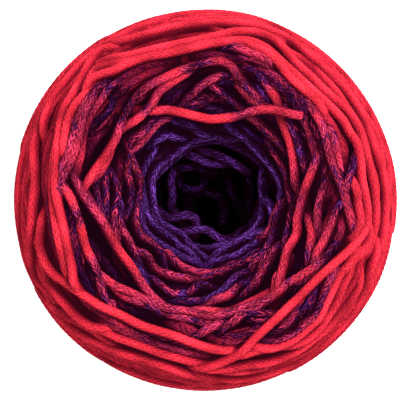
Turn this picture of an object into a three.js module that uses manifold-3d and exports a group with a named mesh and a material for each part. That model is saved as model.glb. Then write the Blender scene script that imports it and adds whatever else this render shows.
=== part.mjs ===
// A ball of knitted craft cord, wound crosswise around an open middle and lying on one end.
// Millimetres, +Z up along the winding axis. The origin is the middle of the flat spot it rests on.
import * as THREE from "three";
import { mergeVertices } from "three/addons/utils/BufferGeometryUtils.js";
import Module from "manifold-3d";

const wasm = await Module();
wasm.setup();

// Driving dimensions
const CORD = 3.1; // thickness of the cord
const BALL_RADIUS = 63.5; // widest, over the cords
const BALL_HEIGHT = 92; // over the cords of the crown
const WIDEST_HEIGHT = 46; // where the ball is widest
const CREST_RADIUS = 46; // ring where the crown is highest
const FLAT_RADIUS = 42; // flat spot underneath
const MOUTH_RADIUS = 14; // where the crown's funnel turns into the middle hole
const MOUTH_HEIGHT = 62;
const HOLE_RADIUS = 11.5; // the hole farther down
const HOLE_FLOOR = 32; // where the inner turns close it
const HOLE_SHIFT = 3.4; // the hole lies off the axis by this much, toward +X
const HOLE_OVAL = 0.09; // it is longer in X and shorter in Y by this share

// Relief of the cords on the ball
const RELIEF = 0.45 * CORD; // how far a cord of the lower layer stands out
const OVER = 0.45 * CORD; // how much higher a cord lies that crosses the others
const ROOT = 1.5 * CORD; // how deep a cord's root reaches into the ball
const RIDGE_TOP_WIDTH = 0.55; // the flat along a raised cord's top, as a share of its width
const RIDGE_TOP_HEIGHT = 0.88; // its height over the cord's middle, as a share of half its width
const DIVE = 1.3 * CORD; // how deep a cord's end goes down between its neighbours
const DIVE_LENGTH = 2.6 * CORD;
const CROWN_STEP = 9; // length of one facet along a crown cord
const BRIDGE = 0.4; // how far a cord leaves the funnel toward the straight line between its ends

// The bare form under the cords
const BODY_RADIUS = BALL_RADIUS - RELIEF;
const BODY_HEIGHT = BALL_HEIGHT - RELIEF - OVER;
const BODY_SIDES = 40;
const LUMP = 0.5; // unevenness of the crown, in three broad waves and five smaller ones
const LUMP_TURN = 0.6; // where the waves lie around the ball, in radians
const SLOPE_REACH = 0.2; // half the length over which the crown's slope is taken
const FUNNEL_ROWS = 5;
const SHOULDER_ROWS = 5;
const LOWER_ROWS = 5;

// Side cords, crossing between the shoulder and the foot
const SIDE_PAIRS = 8;
const SIDE_SWEEP = 96; // degrees around the ball from shoulder to foot
const SIDE_TOP = 52; // degrees up the shoulder's curve where they start
const SIDE_FOOT = -58;
const SIDE_STEPS = 8;
const SIDE_OFFSET = 11; // degrees between the starts of a pair's two cords
const SIDE_LENGTH = 120; // length of one side cord

// Cords of the crown, from the hole outward. In plan each is an arc whose nearest point to the axis
// has this heading (degrees from +X) and distance (mm), around a centre that lies "shift" mm beyond
// the axis; it runs between two angles. An "over" of 1 crosses on top of the others.
const CROWN_CORDS = [
  // heading, nearest, shift, from, to, over
  [248, 15.8, 8, 190, 272, 0],
  [88, 17.6, 6, 58, 130, 0],
  [230, 18.2, 5, 142, 222, 1],
  [35, 22.4, 4, 0, 68, 1],
  [285, 21.8, 2, 278, 348, 1],
  [268, 23.8, 15, 218, 292, 1],
  [126, 27.6, 40, 106, 152, 0],
  [165, 30.4, 8, 180, 232, 0],
  [296, 29.6, 25, 272, 316, 0],
  [14, 29.9, 150, 4, 68, 1],
  [125, 30.8, 200, 76, 112, 1],
  [344, 30.9, 250, 311, 382, 1],
  [217, 33.2, 100, 174, 252, 1],
  [286, 34.4, 22, 218, 306, 0],
  [5, 34.2, 60, 4, 44, 0],
  [148, 36.9, 60, 112, 172, 0],
  [105, 41.2, 10, 80, 124, 1],
  [341, 40.4, 60, 326, 362, 0],
  [200, 40.7, 70, 174, 232, 0],
  [17, 43.2, 200, -14, 42, 1],
  [246, 43.3, 80, 196, 286, 1],
  [312, 43.5, 160, 280, 354, 1],
  [157, 44.4, 30, 128, 180, 1],
  [193, 47.2, 25, 126, 214, 1],
  [101, 48.8, 28, 78, 132, 1],
  [47, 49.6, 40, 20, 72, 0],
  [249, 50.6, 140, 208, 290, 1],
  [325, 52.6, 5, 300, 348, 0],
  [2, 53.4, 8, -12, 56, 0],
  [178, 54.4, 60, 148, 206, 1],
  [190, 58.4, 4, 168, 222, 0],
  [40, 58.2, 4, -4, 80, 0],
  [97, 57.6, 20, 84, 140, 0],
  [262, 58.2, 4, 222, 288, 0],
];

// The loose end's route, from where it comes out under a crossing cord to its blunt cut end: the
// place of its middle. It leans on the cords of the far rim and spans a part of the funnel.
const LOOSE_END = [
  // x, y, z
  [-19.2, 29.0, 88.0],
  [-16.4, 28.8, 87.8],
  [-12.6, 29.2, 87.0],
  [-9.7, 28.8, 86.4],
  [-6.9, 28.2, 86.1],
  [-2.6, 27.1, 85.5],
  [1.7, 26.2, 85.2],
  [4.3, 26.3, 85.3],
  [8.3, 26.7, 85.9],
  [11.5, 27.5, 86.9],
  [14.6, 28.5, 88.4],
  [18.0, 29.2, 90.2],
  [21.5, 29.2, 91.3],
  [23.8, 28.8, 91.5],
  [27.2, 27.9, 91.2],
  [31.4, 27.0, 90.6],
];
const LOOSE_SIDES = 8;

const radians = THREE.MathUtils.degToRad;
const smooth = (amount) => THREE.MathUtils.smoothstep(amount, 0, 1);

// Height of the bare crown at a distance from the axis, from the mouth of the hole outward
function crownHeight(radius) {
  if (radius >= CREST_RADIUS) {
    const out = Math.min((radius - CREST_RADIUS) / (BODY_RADIUS - CREST_RADIUS), 1);
    return WIDEST_HEIGHT + (BODY_HEIGHT - WIDEST_HEIGHT) * Math.sqrt(1 - out * out);
  }
  const inward = Math.max((radius - MOUTH_RADIUS) / (CREST_RADIUS - MOUTH_RADIUS), 0);
  return MOUTH_HEIGHT + (BODY_HEIGHT - MOUTH_HEIGHT) * Math.sin(0.5 * Math.PI * inward);
}

// Moves a point of the round form to its place on the real one: the hole off the axis and oval,
// the crown a little uneven
function uneven(point) {
  const angle = Math.atan2(point.y, point.x);
  const radius = Math.hypot(point.x, point.y);
  const nearHole = 1 - smooth((radius - HOLE_RADIUS) / (CREST_RADIUS - HOLE_RADIUS));
  const raised = smooth((point.z - WIDEST_HEIGHT) / (BODY_HEIGHT - WIDEST_HEIGHT));
  const inHole = point.z > 0.5 * HOLE_FLOOR ? nearHole : 0;
  const lump = Math.sin(3 * angle + LUMP_TURN) + 0.6 * Math.sin(5 * angle + 2);
  return new THREE.Vector3(
    point.x * (1 + HOLE_OVAL * inHole) + HOLE_SHIFT * inHole,
    point.y * (1 - HOLE_OVAL * inHole),
    point.z + LUMP * lump * raised,
  );
}

// The crown's surface above a place in plan, and the direction it faces
function crownPoint(angle, radius) {
  const bare = (out) => new THREE.Vector3(
    out * Math.cos(radians(angle)),
    out * Math.sin(radians(angle)),
    crownHeight(out),
  );
  const point = uneven(bare(radius));
  const along = bare(radius + SLOPE_REACH).sub(bare(radius - SLOPE_REACH)).normalize();
  const around = new THREE.Vector3(-Math.sin(radians(angle)), Math.cos(radians(angle)), 0);
  const normal = new THREE.Vector3().crossVectors(along, around).normalize();
  return { point, normal };
}

// A closed body between rings of the same number of points, with flat ends
function sweep(rings) {
  const count = rings[0].length;
  const positions = rings.flat().flatMap((corner) => corner.toArray());
  const faces = [];
  for (let ring = 0; ring + 1 < rings.length; ring += 1) {
    for (let side = 0; side < count; side += 1) {
      const here = ring * count + side;
      const next = ring * count + ((side + 1) % count);
      faces.push(here, next, next + count, here, next + count, here + count);
    }
  }
  const last = (rings.length - 1) * count;
  for (let side = 1; side + 1 < count; side += 1) {
    faces.push(0, side + 1, side);
    faces.push(last, last + side, last + side + 1);
  }
  const geometry = new THREE.BufferGeometry();
  geometry.setAttribute("position", new THREE.Float32BufferAttribute(positions, 3));
  geometry.setIndex(faces);
  return geometry;
}

// One raised cord along points of the surface: a rounded ridge whose root reaches into the ball
function ridge(course) {
  const half = 0.5 * CORD;
  const section = [
    [-half, 0],
    [-half * RIDGE_TOP_WIDTH, half * RIDGE_TOP_HEIGHT],
    [half * RIDGE_TOP_WIDTH, half * RIDGE_TOP_HEIGHT],
    [half, 0],
    [0, -ROOT],
  ];
  const rings = course.map(({ point, normal }, index) => {
    const before = course[Math.max(index - 1, 0)].point;
    const after = course[Math.min(index + 1, course.length - 1)].point;
    const ahead = after.clone().sub(before).normalize();
    const across = new THREE.Vector3().crossVectors(ahead, normal).normalize();
    const up = new THREE.Vector3().crossVectors(across, ahead);
    return section.map(([side, rise]) => (
      point.clone().addScaledVector(across, side).addScaledVector(up, rise)
    ));
  });
  return sweep(rings);
}

// How far a cord's middle stands off the surface at a place along it, from 0 to 1
function standing(share, length) {
  const fromEnd = Math.min(share, 1 - share) * length;
  return -DIVE * (1 - smooth(fromEnd / DIVE_LENGTH));
}

// The points that a crown cord follows
function crownCourse([heading, nearest, shift, from, to, over]) {
  const reach = nearest + shift;
  const length = radians(to - from) * nearest;
  const steps = Math.max(4, Math.round(length / CROWN_STEP));
  const places = Array.from({ length: steps + 1 }, (_, step) => {
    const angle = from + ((to - from) * step) / steps;
    const turn = radians(angle - heading);
    const radius = Math.sqrt(reach ** 2 - (shift * Math.sin(turn)) ** 2) - shift * Math.cos(turn);
    return crownPoint(angle, radius);
  });
  const first = places[0].point;
  const last = places[steps].point;
  return places.map(({ point, normal }, step) => {
    const share = step / steps;
    const straight = first.z + (last.z - first.z) * share;
    const bridged = Math.max(straight - point.z, 0) * BRIDGE;
    const lift = over * OVER + standing(share, length);
    const middle = point.clone().addScaledVector(normal, lift);
    middle.z += bridged;
    return { point: middle, normal };
  });
}

// The points that a side cord follows, from the shoulder down to the foot
function sideCourse(start, hand, over) {
  return Array.from({ length: SIDE_STEPS + 1 }, (_, step) => {
    const share = step / SIDE_STEPS;
    const rise = radians(SIDE_TOP + (SIDE_FOOT - SIDE_TOP) * share);
    const angle = radians(start + hand * SIDE_SWEEP * share);
    const inner = rise > 0 ? CREST_RADIUS : FLAT_RADIUS;
    const tall = rise > 0 ? BODY_HEIGHT - WIDEST_HEIGHT : WIDEST_HEIGHT;
    const wide = BODY_RADIUS - inner;
    const radius = inner + wide * Math.cos(rise);
    const facing = new THREE.Vector2(tall * Math.cos(rise), wide * Math.sin(rise)).normalize();
    const bare = new THREE.Vector3(
      radius * Math.cos(angle),
      radius * Math.sin(angle),
      WIDEST_HEIGHT + tall * Math.sin(rise),
    );
    const normal = new THREE.Vector3(facing.x * Math.cos(angle), facing.x * Math.sin(angle), facing.y);
    const lift = 0.5 * over * OVER + standing(share, SIDE_LENGTH);
    const point = uneven(bare).addScaledVector(normal, lift);
    return { point, normal };
  });
}

// The bare form: flat spot, lower curve, shoulder, funnel and hole, turned around the axis
function bodyGeometry() {
  const profile = [new THREE.Vector2(0, 0)];
  for (let row = 0; row <= LOWER_ROWS; row += 1) {
    const rise = 0.5 * Math.PI * (row / LOWER_ROWS - 1);
    profile.push(new THREE.Vector2(
      FLAT_RADIUS + (BODY_RADIUS - FLAT_RADIUS) * Math.cos(rise),
      WIDEST_HEIGHT * (1 + Math.sin(rise)),
    ));
  }
  for (let row = 1; row <= SHOULDER_ROWS; row += 1) {
    const rise = (0.5 * Math.PI * row) / SHOULDER_ROWS;
    const radius = CREST_RADIUS + (BODY_RADIUS - CREST_RADIUS) * Math.cos(rise);
    profile.push(new THREE.Vector2(radius, crownHeight(radius)));
  }
  for (let row = 1; row <= FUNNEL_ROWS; row += 1) {
    const radius = CREST_RADIUS + ((MOUTH_RADIUS - CREST_RADIUS) * row) / FUNNEL_ROWS;
    profile.push(new THREE.Vector2(radius, crownHeight(radius)));
  }
  profile.push(new THREE.Vector2(HOLE_RADIUS, 0.5 * (MOUTH_HEIGHT + HOLE_FLOOR)));
  profile.push(new THREE.Vector2(0.85 * HOLE_RADIUS, HOLE_FLOOR + CORD));
  profile.push(new THREE.Vector2(0.45 * HOLE_RADIUS, HOLE_FLOOR));
  profile.push(new THREE.Vector2(0, HOLE_FLOOR));

  const geometry = new THREE.LatheGeometry(profile, BODY_SIDES);
  geometry.rotateX(0.5 * Math.PI);
  const positions = geometry.getAttribute("position");
  for (let index = 0; index < positions.count; index += 1) {
    const moved = uneven(new THREE.Vector3().fromBufferAttribute(positions, index));
    positions.setXYZ(index, moved.x, moved.y, moved.z);
  }
  return geometry;
}

// A geometry as a solid that can be joined
function solidOf(geometry) {
  const bare = geometry.clone();
  bare.deleteAttribute("normal");
  bare.deleteAttribute("uv");
  const merged = mergeVertices(bare, 1e-3);
  return new wasm.Manifold(new wasm.Mesh({
    numProp: 3,
    vertProperties: new Float32Array(merged.getAttribute("position").array),
    triVerts: new Uint32Array(merged.getIndex().array),
  }));
}

// A solid as a geometry again
function geometryOf(solid) {
  const mesh = solid.getMesh();
  const geometry = new THREE.BufferGeometry();
  geometry.setAttribute("position", new THREE.BufferAttribute(mesh.vertProperties, 3));
  geometry.setIndex(new THREE.BufferAttribute(mesh.triVerts, 1));
  geometry.computeVertexNormals();
  return geometry;
}

function woundCord(material) {
  let ball = solidOf(bodyGeometry());
  for (const row of CROWN_CORDS) {
    ball = ball.add(solidOf(ridge(crownCourse(row))));
  }
  for (let pair = 0; pair < SIDE_PAIRS; pair += 1) {
    const start = (360 * pair) / SIDE_PAIRS;
    ball = ball.add(solidOf(ridge(sideCourse(start, 1, 0))));
    ball = ball.add(solidOf(ridge(sideCourse(start + SIDE_OFFSET, -1, 1))));
  }
  const mesh = new THREE.Mesh(geometryOf(ball), material);
  mesh.name = "wound_cord";
  return mesh;
}

function looseEnd(material) {
  const route = new THREE.CatmullRomCurve3(LOOSE_END.map((place) => new THREE.Vector3(...place)));
  const section = new THREE.Shape();
  for (let side = 0; side < LOOSE_SIDES; side += 1) {
    const turn = (2 * Math.PI * side) / LOOSE_SIDES;
    const corner = [0.5 * CORD * Math.cos(turn), 0.5 * CORD * Math.sin(turn)];
    if (side === 0) {
      section.moveTo(...corner);
    } else {
      section.lineTo(...corner);
    }
  }
  section.closePath();
  const geometry = new THREE.ExtrudeGeometry(section, {
    steps: LOOSE_END.length - 1,
    extrudePath: route,
    bevelEnabled: false,
  });
  const mesh = new THREE.Mesh(geometry, material);
  mesh.name = "loose_end";
  return mesh;
}

const redCord = new THREE.MeshStandardMaterial({ color: 0xc81f35, roughness: 0.85, metalness: 0 });
const melangeCord = new THREE.MeshStandardMaterial({ color: 0xa52a4e, roughness: 0.85, metalness: 0 });

const group = new THREE.Group();
group.add(woundCord(redCord));
group.add(looseEnd(melangeCord));
export default group;
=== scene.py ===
import math
import random

import bpy
import numpy as np
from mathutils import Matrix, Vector, kdtree


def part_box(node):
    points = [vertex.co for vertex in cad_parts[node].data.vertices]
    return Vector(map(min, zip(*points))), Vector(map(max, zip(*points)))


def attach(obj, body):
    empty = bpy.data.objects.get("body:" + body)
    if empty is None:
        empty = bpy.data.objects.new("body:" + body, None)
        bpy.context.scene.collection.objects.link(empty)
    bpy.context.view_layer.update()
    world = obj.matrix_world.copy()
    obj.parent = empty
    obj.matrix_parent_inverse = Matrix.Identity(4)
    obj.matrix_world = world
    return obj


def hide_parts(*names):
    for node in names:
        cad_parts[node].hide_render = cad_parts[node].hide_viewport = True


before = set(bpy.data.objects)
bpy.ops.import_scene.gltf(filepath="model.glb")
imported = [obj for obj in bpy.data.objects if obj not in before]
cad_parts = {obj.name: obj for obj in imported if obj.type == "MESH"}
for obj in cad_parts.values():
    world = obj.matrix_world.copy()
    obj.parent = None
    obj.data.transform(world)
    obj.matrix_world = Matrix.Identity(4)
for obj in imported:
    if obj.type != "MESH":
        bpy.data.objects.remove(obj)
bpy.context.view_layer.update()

# Sizes. Shapes are worked out in millimetres and made in metres.
MM = 0.001
CORD = 3.1
HALF_CORD = 0.5 * CORD
ball_low, ball_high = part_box("wound_cord")
BALL_RADIUS = 0.25 * (ball_high[0] - ball_low[0] + ball_high[1] - ball_low[1]) / MM
BALL_HEIGHT = 92.0
WIDEST_HEIGHT = 46.0
CREST_RADIUS = 46.0
FLAT_RADIUS = 42.0
MOUTH_RADIUS = 14.0
MOUTH_HEIGHT = 62.0
HOLE_RADIUS = 11.5
HOLE_FLOOR = 32.0
HOLE_SHIFT = 3.4
HOLE_OVAL = 0.09
LUMP = 0.5

# Waves of the uneven crown: how many around the ball, how far turned, and their share of the lump
LUMP_WAVES = ((3, 0.6, 1.0), (5, 2.0, 0.6))

# The profile of the ball is drawn in so many steps a curve, and then evened out and smoothed
CURVE_STEPS = 24
PROFILE_SPACING = 0.5
PROFILE_SMOOTHINGS = 12
POLE_RADIUS = 0.3     # the profile starts and ends this near the axis

# Where the crown is seen from, and the height that the places of its tables are drawn for
EYE = Vector((-1.53, 0.07, 1192.0))
SEEN_HEIGHT = 91.0

# How the turns lie on each other
SIDE_DEPTH = 5.0      # the bare bed lies this far under the ball's outside at the sides
CROWN_DEPTH = 6.5     # and this far under the crown
DEPTH_CHANGE = 12.0   # it changes from one to the other over this length
FIRST_HEIGHT = 0.9 * HALF_CORD     # a cord's middle lies this high over the bare bed
CONTACT = 2.35        # crossing cords press together to this distance
SEARCH_HEIGHT = 4.0   # cords in its way are looked for around this height over the bed
SEARCH_REACH = 6.5    # and no farther from there than this
BED_ROUNDS = 4        # the place on the bed under a point is found in so many rounds,
SEEN_ROUNDS = 3       # and the point of the plan for what the eye sees in so many
SOFT_TOP = 1.0        # a cord eases in under its top over about this height
CROWN_FACING = 0.1    # the crown begins where the ball faces up by more than this
LAID_STEP = 1.2       # distance between the points of a laid course
TAUT_REACH = 4.0      # a tight cord starts to rise this far before what it crosses
WOBBLE = 0.25         # an arc of the crown sways by up to twice this,
SWAY_LENGTHS = (4.1, 2.7)     # in two waves, with so many millimetres to a radian
DIVE_LENGTH = 12.0    # an end goes down between its neighbours over this length
TURN_STRETCH = 1.1    # a whole turn's points are counted for this share of the ball's girth
END_EXTRA = 8.0       # and each crown cord goes on this far beyond where it shows
SHADE_REACH = 9.0     # cords shade each other within this distance

# The knitted cord: stitches per turn around it and the length of one stitch
WALES = 5
STITCH = 2.05
STITCH_RELIEF = 0.1       # how far the stitches stand out in the mesh,
ROW_RELIEF = 0.6          # by this share as rows
GROOVE_RELIEF = 0.4       # and by this share for the grooves between and in the columns
STITCH_SLANT = 1.4        # a stitch's legs slant by this many stitches to a column
BUMP_RELIEF = 0.22        # and in the finish
GAP_DARKNESS = 0.98       # how dark the painted shade in the gaps between stitches is in mixed and purple cords
PLAIN_GAP_DARKNESS = 0.64     # and in red ones
SHADE_DARKNESS = 2.2      # how fast the painted shade darkens a cord under higher ones
FLANK_LIGHT = 0.3         # how much light the painted shade on the flanks between two cords leaves
PATCH_LENGTH = 3.2        # length of a patch of one colour in a mixed cord
PATCH_CONTRAST = 1.9      # how far patches differ
PATCH_SHARE = 0.4         # a thread's colour goes by its patch to this share,
OWN_SHARE = 0.6           # and by a draw of its own to this
RED_SHARPNESS = 9.0       # how sharp the borders of red threads are
DARK_SHARPNESS = 6.0      # and those of black ones
STRETCH_LENGTH = 9.0      # length over which a cord is lighter or darker as a whole
PULL_LENGTH = 2.6         # the stitches are pulled about, changing over this length,
PULL_ALONG = 1.2          # by up to half of this along the cord
PULL_AROUND = 0.5         # and by up to half of this angle around it
PAINTED_GLOW = 0.02               # painted glow: the cords give off this much light of their own, which lifts the darkest gaps,
MIXED_GLOW_COLOUR = (0.55, 0.05, 0.26, 1)      # and its colour, between mixed cords,
RED_GLOW_COLOUR = (2.0, 0.10, 0.36, 1)         # between red ones
BLACK_GLOW_COLOUR = (0.02, 0.01, 0.02, 1)      # and between black ones


def smooth_step(value):
    value = min(max(value, 0.0), 1.0)
    return value * value * (3.0 - 2.0 * value)


# How much a place belongs to the crown, from the direction it faces
def crown_share(facing, ramp):
    return smooth_step((facing.z - CROWN_FACING) / ramp)


# The ball's form as one profile, from the hole's floor over the crown to the middle of the foot.
def crown_height(radius):
    top = BALL_HEIGHT - HALF_CORD
    wide = BALL_RADIUS - HALF_CORD
    if radius >= CREST_RADIUS:
        out = min((radius - CREST_RADIUS) / (wide - CREST_RADIUS), 1.0)
        return WIDEST_HEIGHT + (top - WIDEST_HEIGHT) * math.sqrt(1.0 - out * out)
    inward = max((radius - MOUTH_RADIUS) / (CREST_RADIUS - MOUTH_RADIUS), 0.0)
    return MOUTH_HEIGHT + (top - MOUTH_HEIGHT) * math.sin(0.5 * math.pi * inward)


def profile_points():
    # The hole's floor is rounded
    points = [
        (POLE_RADIUS, HOLE_FLOOR),
        (0.6 * HOLE_RADIUS, HOLE_FLOOR + 0.5),
        (0.9 * HOLE_RADIUS, HOLE_FLOOR + CORD),
        (HOLE_RADIUS, 0.5 * (MOUTH_HEIGHT + HOLE_FLOOR)),
    ]
    wide = BALL_RADIUS - HALF_CORD
    shares = [step / CURVE_STEPS for step in range(1, CURVE_STEPS + 1)]
    for share in shares:
        radius = MOUTH_RADIUS + (CREST_RADIUS - MOUTH_RADIUS) * share
        points.append((radius, crown_height(radius)))
    for share in shares:
        radius = CREST_RADIUS + (wide - CREST_RADIUS) * math.cos(0.5 * math.pi * (1.0 - share))
        points.append((radius, crown_height(radius)))
    for share in shares:
        rise = 0.5 * math.pi * share
        radius = FLAT_RADIUS + (wide - FLAT_RADIUS) * math.cos(rise)
        points.append((radius, HALF_CORD + (WIDEST_HEIGHT - HALF_CORD) * (1.0 - math.sin(rise))))
    points.append((POLE_RADIUS, HALF_CORD))
    return np.array(points)


# Distances along a line of points, from its start
def distances(points):
    return np.concatenate([[0.0], np.cumsum(np.hypot(*np.diff(points, axis=0).T))])


def even_profile(points):
    lengths = distances(points)
    stations = np.arange(0.0, lengths[-1], PROFILE_SPACING)
    even = np.stack([np.interp(stations, lengths, points[:, axis]) for axis in (0, 1)], axis=1)
    for _ in range(PROFILE_SMOOTHINGS):
        even[1:-1] = 0.25 * even[:-2] + 0.5 * even[1:-1] + 0.25 * even[2:]
    return distances(even), even


PROFILE_LENGTHS, PROFILE = even_profile(profile_points())
slopes = np.gradient(PROFILE, PROFILE_LENGTHS, axis=0)
PROFILE_NORMALS = np.stack([-slopes[:, 1], slopes[:, 0]], axis=1)
PROFILE_NORMALS /= np.linalg.norm(PROFILE_NORMALS, axis=1)[:, None]

# The profile's rows that belong to the crown, and the row where the foot starts
NEARLY_WIDEST = BALL_RADIUS - HALF_CORD - 0.4
CROWN_ROWS = np.argmax(PROFILE[:, 0] > NEARLY_WIDEST)
FOOT_ROW = len(PROFILE) - 1 - np.argmax(PROFILE[::-1, 0] > NEARLY_WIDEST)


# A station is a distance along the profile. These give it for a radius.
def station_of_crown(radius):
    return float(np.interp(radius, PROFILE[:CROWN_ROWS, 0], PROFILE_LENGTHS[:CROWN_ROWS]))


def station_of_foot(radius):
    rows = slice(FOOT_ROW, None)
    return float(np.interp(-radius, -PROFILE[rows, 0], PROFILE_LENGTHS[rows]))


# The crown is a little uneven, and the hole lies off the axis and is oval
def uneven(point):
    angle = math.atan2(point.y, point.x)
    radius = math.hypot(point.x, point.y)
    in_hole = 1.0 - smooth_step((radius - HOLE_RADIUS) / (CREST_RADIUS - HOLE_RADIUS))
    if point.z < 0.5 * HOLE_FLOOR:
        in_hole = 0.0
    raised = smooth_step((point.z - WIDEST_HEIGHT) / (BALL_HEIGHT - WIDEST_HEIGHT))
    lump = sum(share * math.sin(count * angle + turned) for count, turned, share in LUMP_WAVES)
    return Vector((
        point.x * (1.0 + HOLE_OVAL * in_hole) + HOLE_SHIFT * in_hole,
        point.y * (1.0 - HOLE_OVAL * in_hole),
        point.z + LUMP * lump * raised,
    ))


def bed_depth(station):
    to_side = smooth_step((station - station_of_crown(CREST_RADIUS)) / DEPTH_CHANGE)
    return CROWN_DEPTH + (SIDE_DEPTH - CROWN_DEPTH) * to_side


# A place on the ball's outside, and the direction it faces
def outside_place(angle, station):
    radius, height = (float(np.interp(station, PROFILE_LENGTHS, PROFILE[:, axis])) for axis in (0, 1))
    out, up = (float(np.interp(station, PROFILE_LENGTHS, PROFILE_NORMALS[:, axis])) for axis in (0, 1))
    facing = Vector((out * math.cos(angle), out * math.sin(angle), up)).normalized()
    return uneven(Vector((radius * math.cos(angle), radius * math.sin(angle), height))), facing


# A place on the bare bed under the turns, the direction it faces, and how deep it lies
def bed_place(angle, station):
    point, facing = outside_place(angle, station)
    depth = bed_depth(station)
    return point - facing * depth, facing, depth


# The place on the bed under a point of the plan
def bed_under(x, y):
    guess = Vector((x, y))
    for _ in range(BED_ROUNDS):
        angle = math.atan2(guess.y, guess.x)
        station = station_of_crown(guess.length)
        guess += Vector((x, y)) - outside_place(angle, station)[0].xy
    return bed_place(angle, station)


# Courses: the places that a cord passes, each with the direction and the depth of the bed there.

# In plan a cord's course is an arc whose nearest point to the axis has a heading and a distance. The
# arc's centre lies "shift" beyond the axis. It runs "half" to either side of its heading.
def arc_course(heading, nearest, shift, half, station_of=station_of_crown, wobble=WOBBLE):
    reach = nearest + shift
    start, end = heading - half, heading + half
    steps = max(6, round(math.radians(end - start) * nearest / LAID_STEP))
    course = []
    for step in range(steps + 1):
        angle = start + (end - start) * step / steps
        turn = math.radians(angle - heading)
        radius = math.sqrt(max(reach ** 2 - (shift * math.sin(turn)) ** 2, 0.0)) - shift * math.cos(turn)
        along = math.radians(angle) * nearest
        long_wave, short_wave = (along / length for length in SWAY_LENGTHS)
        sway = math.sin(long_wave + heading) + math.sin(short_wave + 2.0 * nearest)
        course.append(bed_place(math.radians(angle), station_of(radius + wobble * sway)))
    return course


# A smooth route through places, which goes on straight by an extra length at both ends. Each place is
# a row of numbers of any count.
def smooth_route(places, extra=0.0):
    points = [np.array(place, dtype=float) for place in places]
    for end, inner in ((0, 1), (-1, -2)):
        away = points[end] - points[inner]
        away[2:] = 0.0
        away *= extra / np.linalg.norm(away[:2])
        if extra > 0.0:
            points.insert(0 if end == 0 else len(points), points[end] + away)
    points.insert(0, 2 * points[0] - points[1])
    points.append(2 * points[-1] - points[-2])
    route = []
    for before, first, second, after in zip(points, points[1:], points[2:], points[3:]):
        count = max(1, round(float(np.linalg.norm(second - first)) / LAID_STEP))
        for index in range(count):
            share = index / count
            route.append(0.5 * (
                2 * first
                + (second - before) * share
                + (2 * before - 5 * first + 4 * second - after) * share ** 2
                + (3 * first - before - 3 * second + after) * share ** 3
            ))
    route.append(points[-2])
    return route


# A whole turn goes over the crown at its heading and under the foot on the far side
def whole_turn(heading, crown_radius, foot_radius):
    top = station_of_crown(crown_radius)
    bottom = station_of_foot(foot_radius)
    steps = round(2 * math.pi * BALL_RADIUS * TURN_STRETCH / LAID_STEP)
    course = []
    for step in range(steps):
        turn = 2 * math.pi * step / steps
        station = 0.5 * (top + bottom) + 0.5 * (top - bottom) * math.cos(turn)
        course.append(bed_place(math.radians(heading) + turn, station))
    return course


# Laying: each new cord lies on the bed and on the cords that are there already.
laid_places = []


def laid_tree():
    tree = kdtree.KDTree(max(len(laid_places), 1))
    for index, place in enumerate(laid_places):
        tree.insert(place, index)
    tree.balance()
    return tree


# How high over the bed each place of a course has to lie to clear the cords that are there already
def needed_heights(course, first):
    tree = laid_tree()
    heights = np.full(len(course), first)
    if not laid_places:
        return heights
    for index, (point, facing, _) in enumerate(course):
        for place, _, _ in tree.find_range(point + facing * SEARCH_HEIGHT, SEARCH_REACH):
            offset = place - point
            rise = offset.dot(facing)
            aside = offset.length_squared - rise * rise
            if aside < CONTACT ** 2:
                heights[index] = max(heights[index], rise + math.sqrt(CONTACT ** 2 - aside))
    return heights


# A tight cord rises early: each height is the highest within reach, and then evened out
def smoothed(values, reach, closed):
    count = max(1, round(reach / LAID_STEP))
    mode = "wrap" if closed else "edge"
    padded = np.pad(values, count, mode=mode)
    highest = np.max([padded[shift:shift + len(values)] for shift in range(2 * count + 1)], axis=0)
    kernel = np.hanning(2 * count + 3)[1:-1]
    padded = np.pad(highest, count, mode=mode)
    return np.convolve(padded, kernel / kernel.sum(), mode="valid")


# A laid cord: the places of its middle, the direction that each faces, the tone at each, and whether
# it is a closed turn
class Cord:
    def __init__(self, middles, facings, tones, closed=False):
        self.middles = middles
        self.facings = facings
        self.tones = tones
        self.closed = closed
        self.shades = [0.0] * len(middles)

    # Adds painted shade to each place of the cord
    def add_painted_shade(self, extras):
        self.shades = [min(shade + extra, 1.0) for shade, extra in zip(self.shades, extras)]


# A cord that isn't laid but has a route of its own, seen from above
def free_cord(route, tones):
    return Cord(route, [Vector((0, 0, 1))] * len(route), tones)


# Lays one cord. It stays under a top, measured from the ball's outside, as tight turns press
# together. Where the ball faces up the top may be lower by the crown drop. A bridge is the share by
# which the cord keeps to the straight line between its ends. Free ends sink to the bed.
def lay(course, tones, top=0.0, first=FIRST_HEIGHT, closed=False, bridge=0.0, dive=DIVE_LENGTH,
        crown_drop=0.0):
    heights = smoothed(needed_heights(course, first), TAUT_REACH, closed)
    drops = [crown_drop * crown_share(facing, 0.3) for _, facing, _ in course]
    soft = np.array([place[2] + top - drop - SOFT_TOP for place, drop in zip(course, drops)])
    over = np.maximum(heights - soft, 0.0)
    heights = np.where(over > 0.0, soft + over / (1.0 + over / SOFT_TOP), heights)
    middles = []
    count = len(course)
    ends = [course[index][0] + course[index][1] * heights[index] for index in (0, -1)]
    for index, (point, facing, _) in enumerate(course):
        height = heights[index]
        share = index / (count - 1)
        if not closed:
            from_end = min(index, count - 1 - index) * LAID_STEP
            height = height * smooth_step(from_end / dive)
        middle = point + facing * height
        straight = ends[0].lerp(ends[1], share)
        middle.z += bridge * max(straight.z - middle.z, 0.0) * smooth_step(4 * min(share, 1 - share))
        middles.append(middle)
    laid_places.extend(middles)
    return Cord(middles, [facing for _, facing, _ in course], tones, closed)


# The plan's place of what an eye high above sees at a place of the tables, which are drawn as if
# everything lay at one height
def plan_of_seen(x, y):
    seen = Vector((x, y)) - EYE.xy
    spread = 1.0
    for _ in range(SEEN_ROUNDS):
        place = EYE.xy + seen * spread
        spread = (EYE.z - crown_height(place.length)) / (EYE.z - SEEN_HEIGHT)
    return EYE.xy + seen * spread


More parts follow.
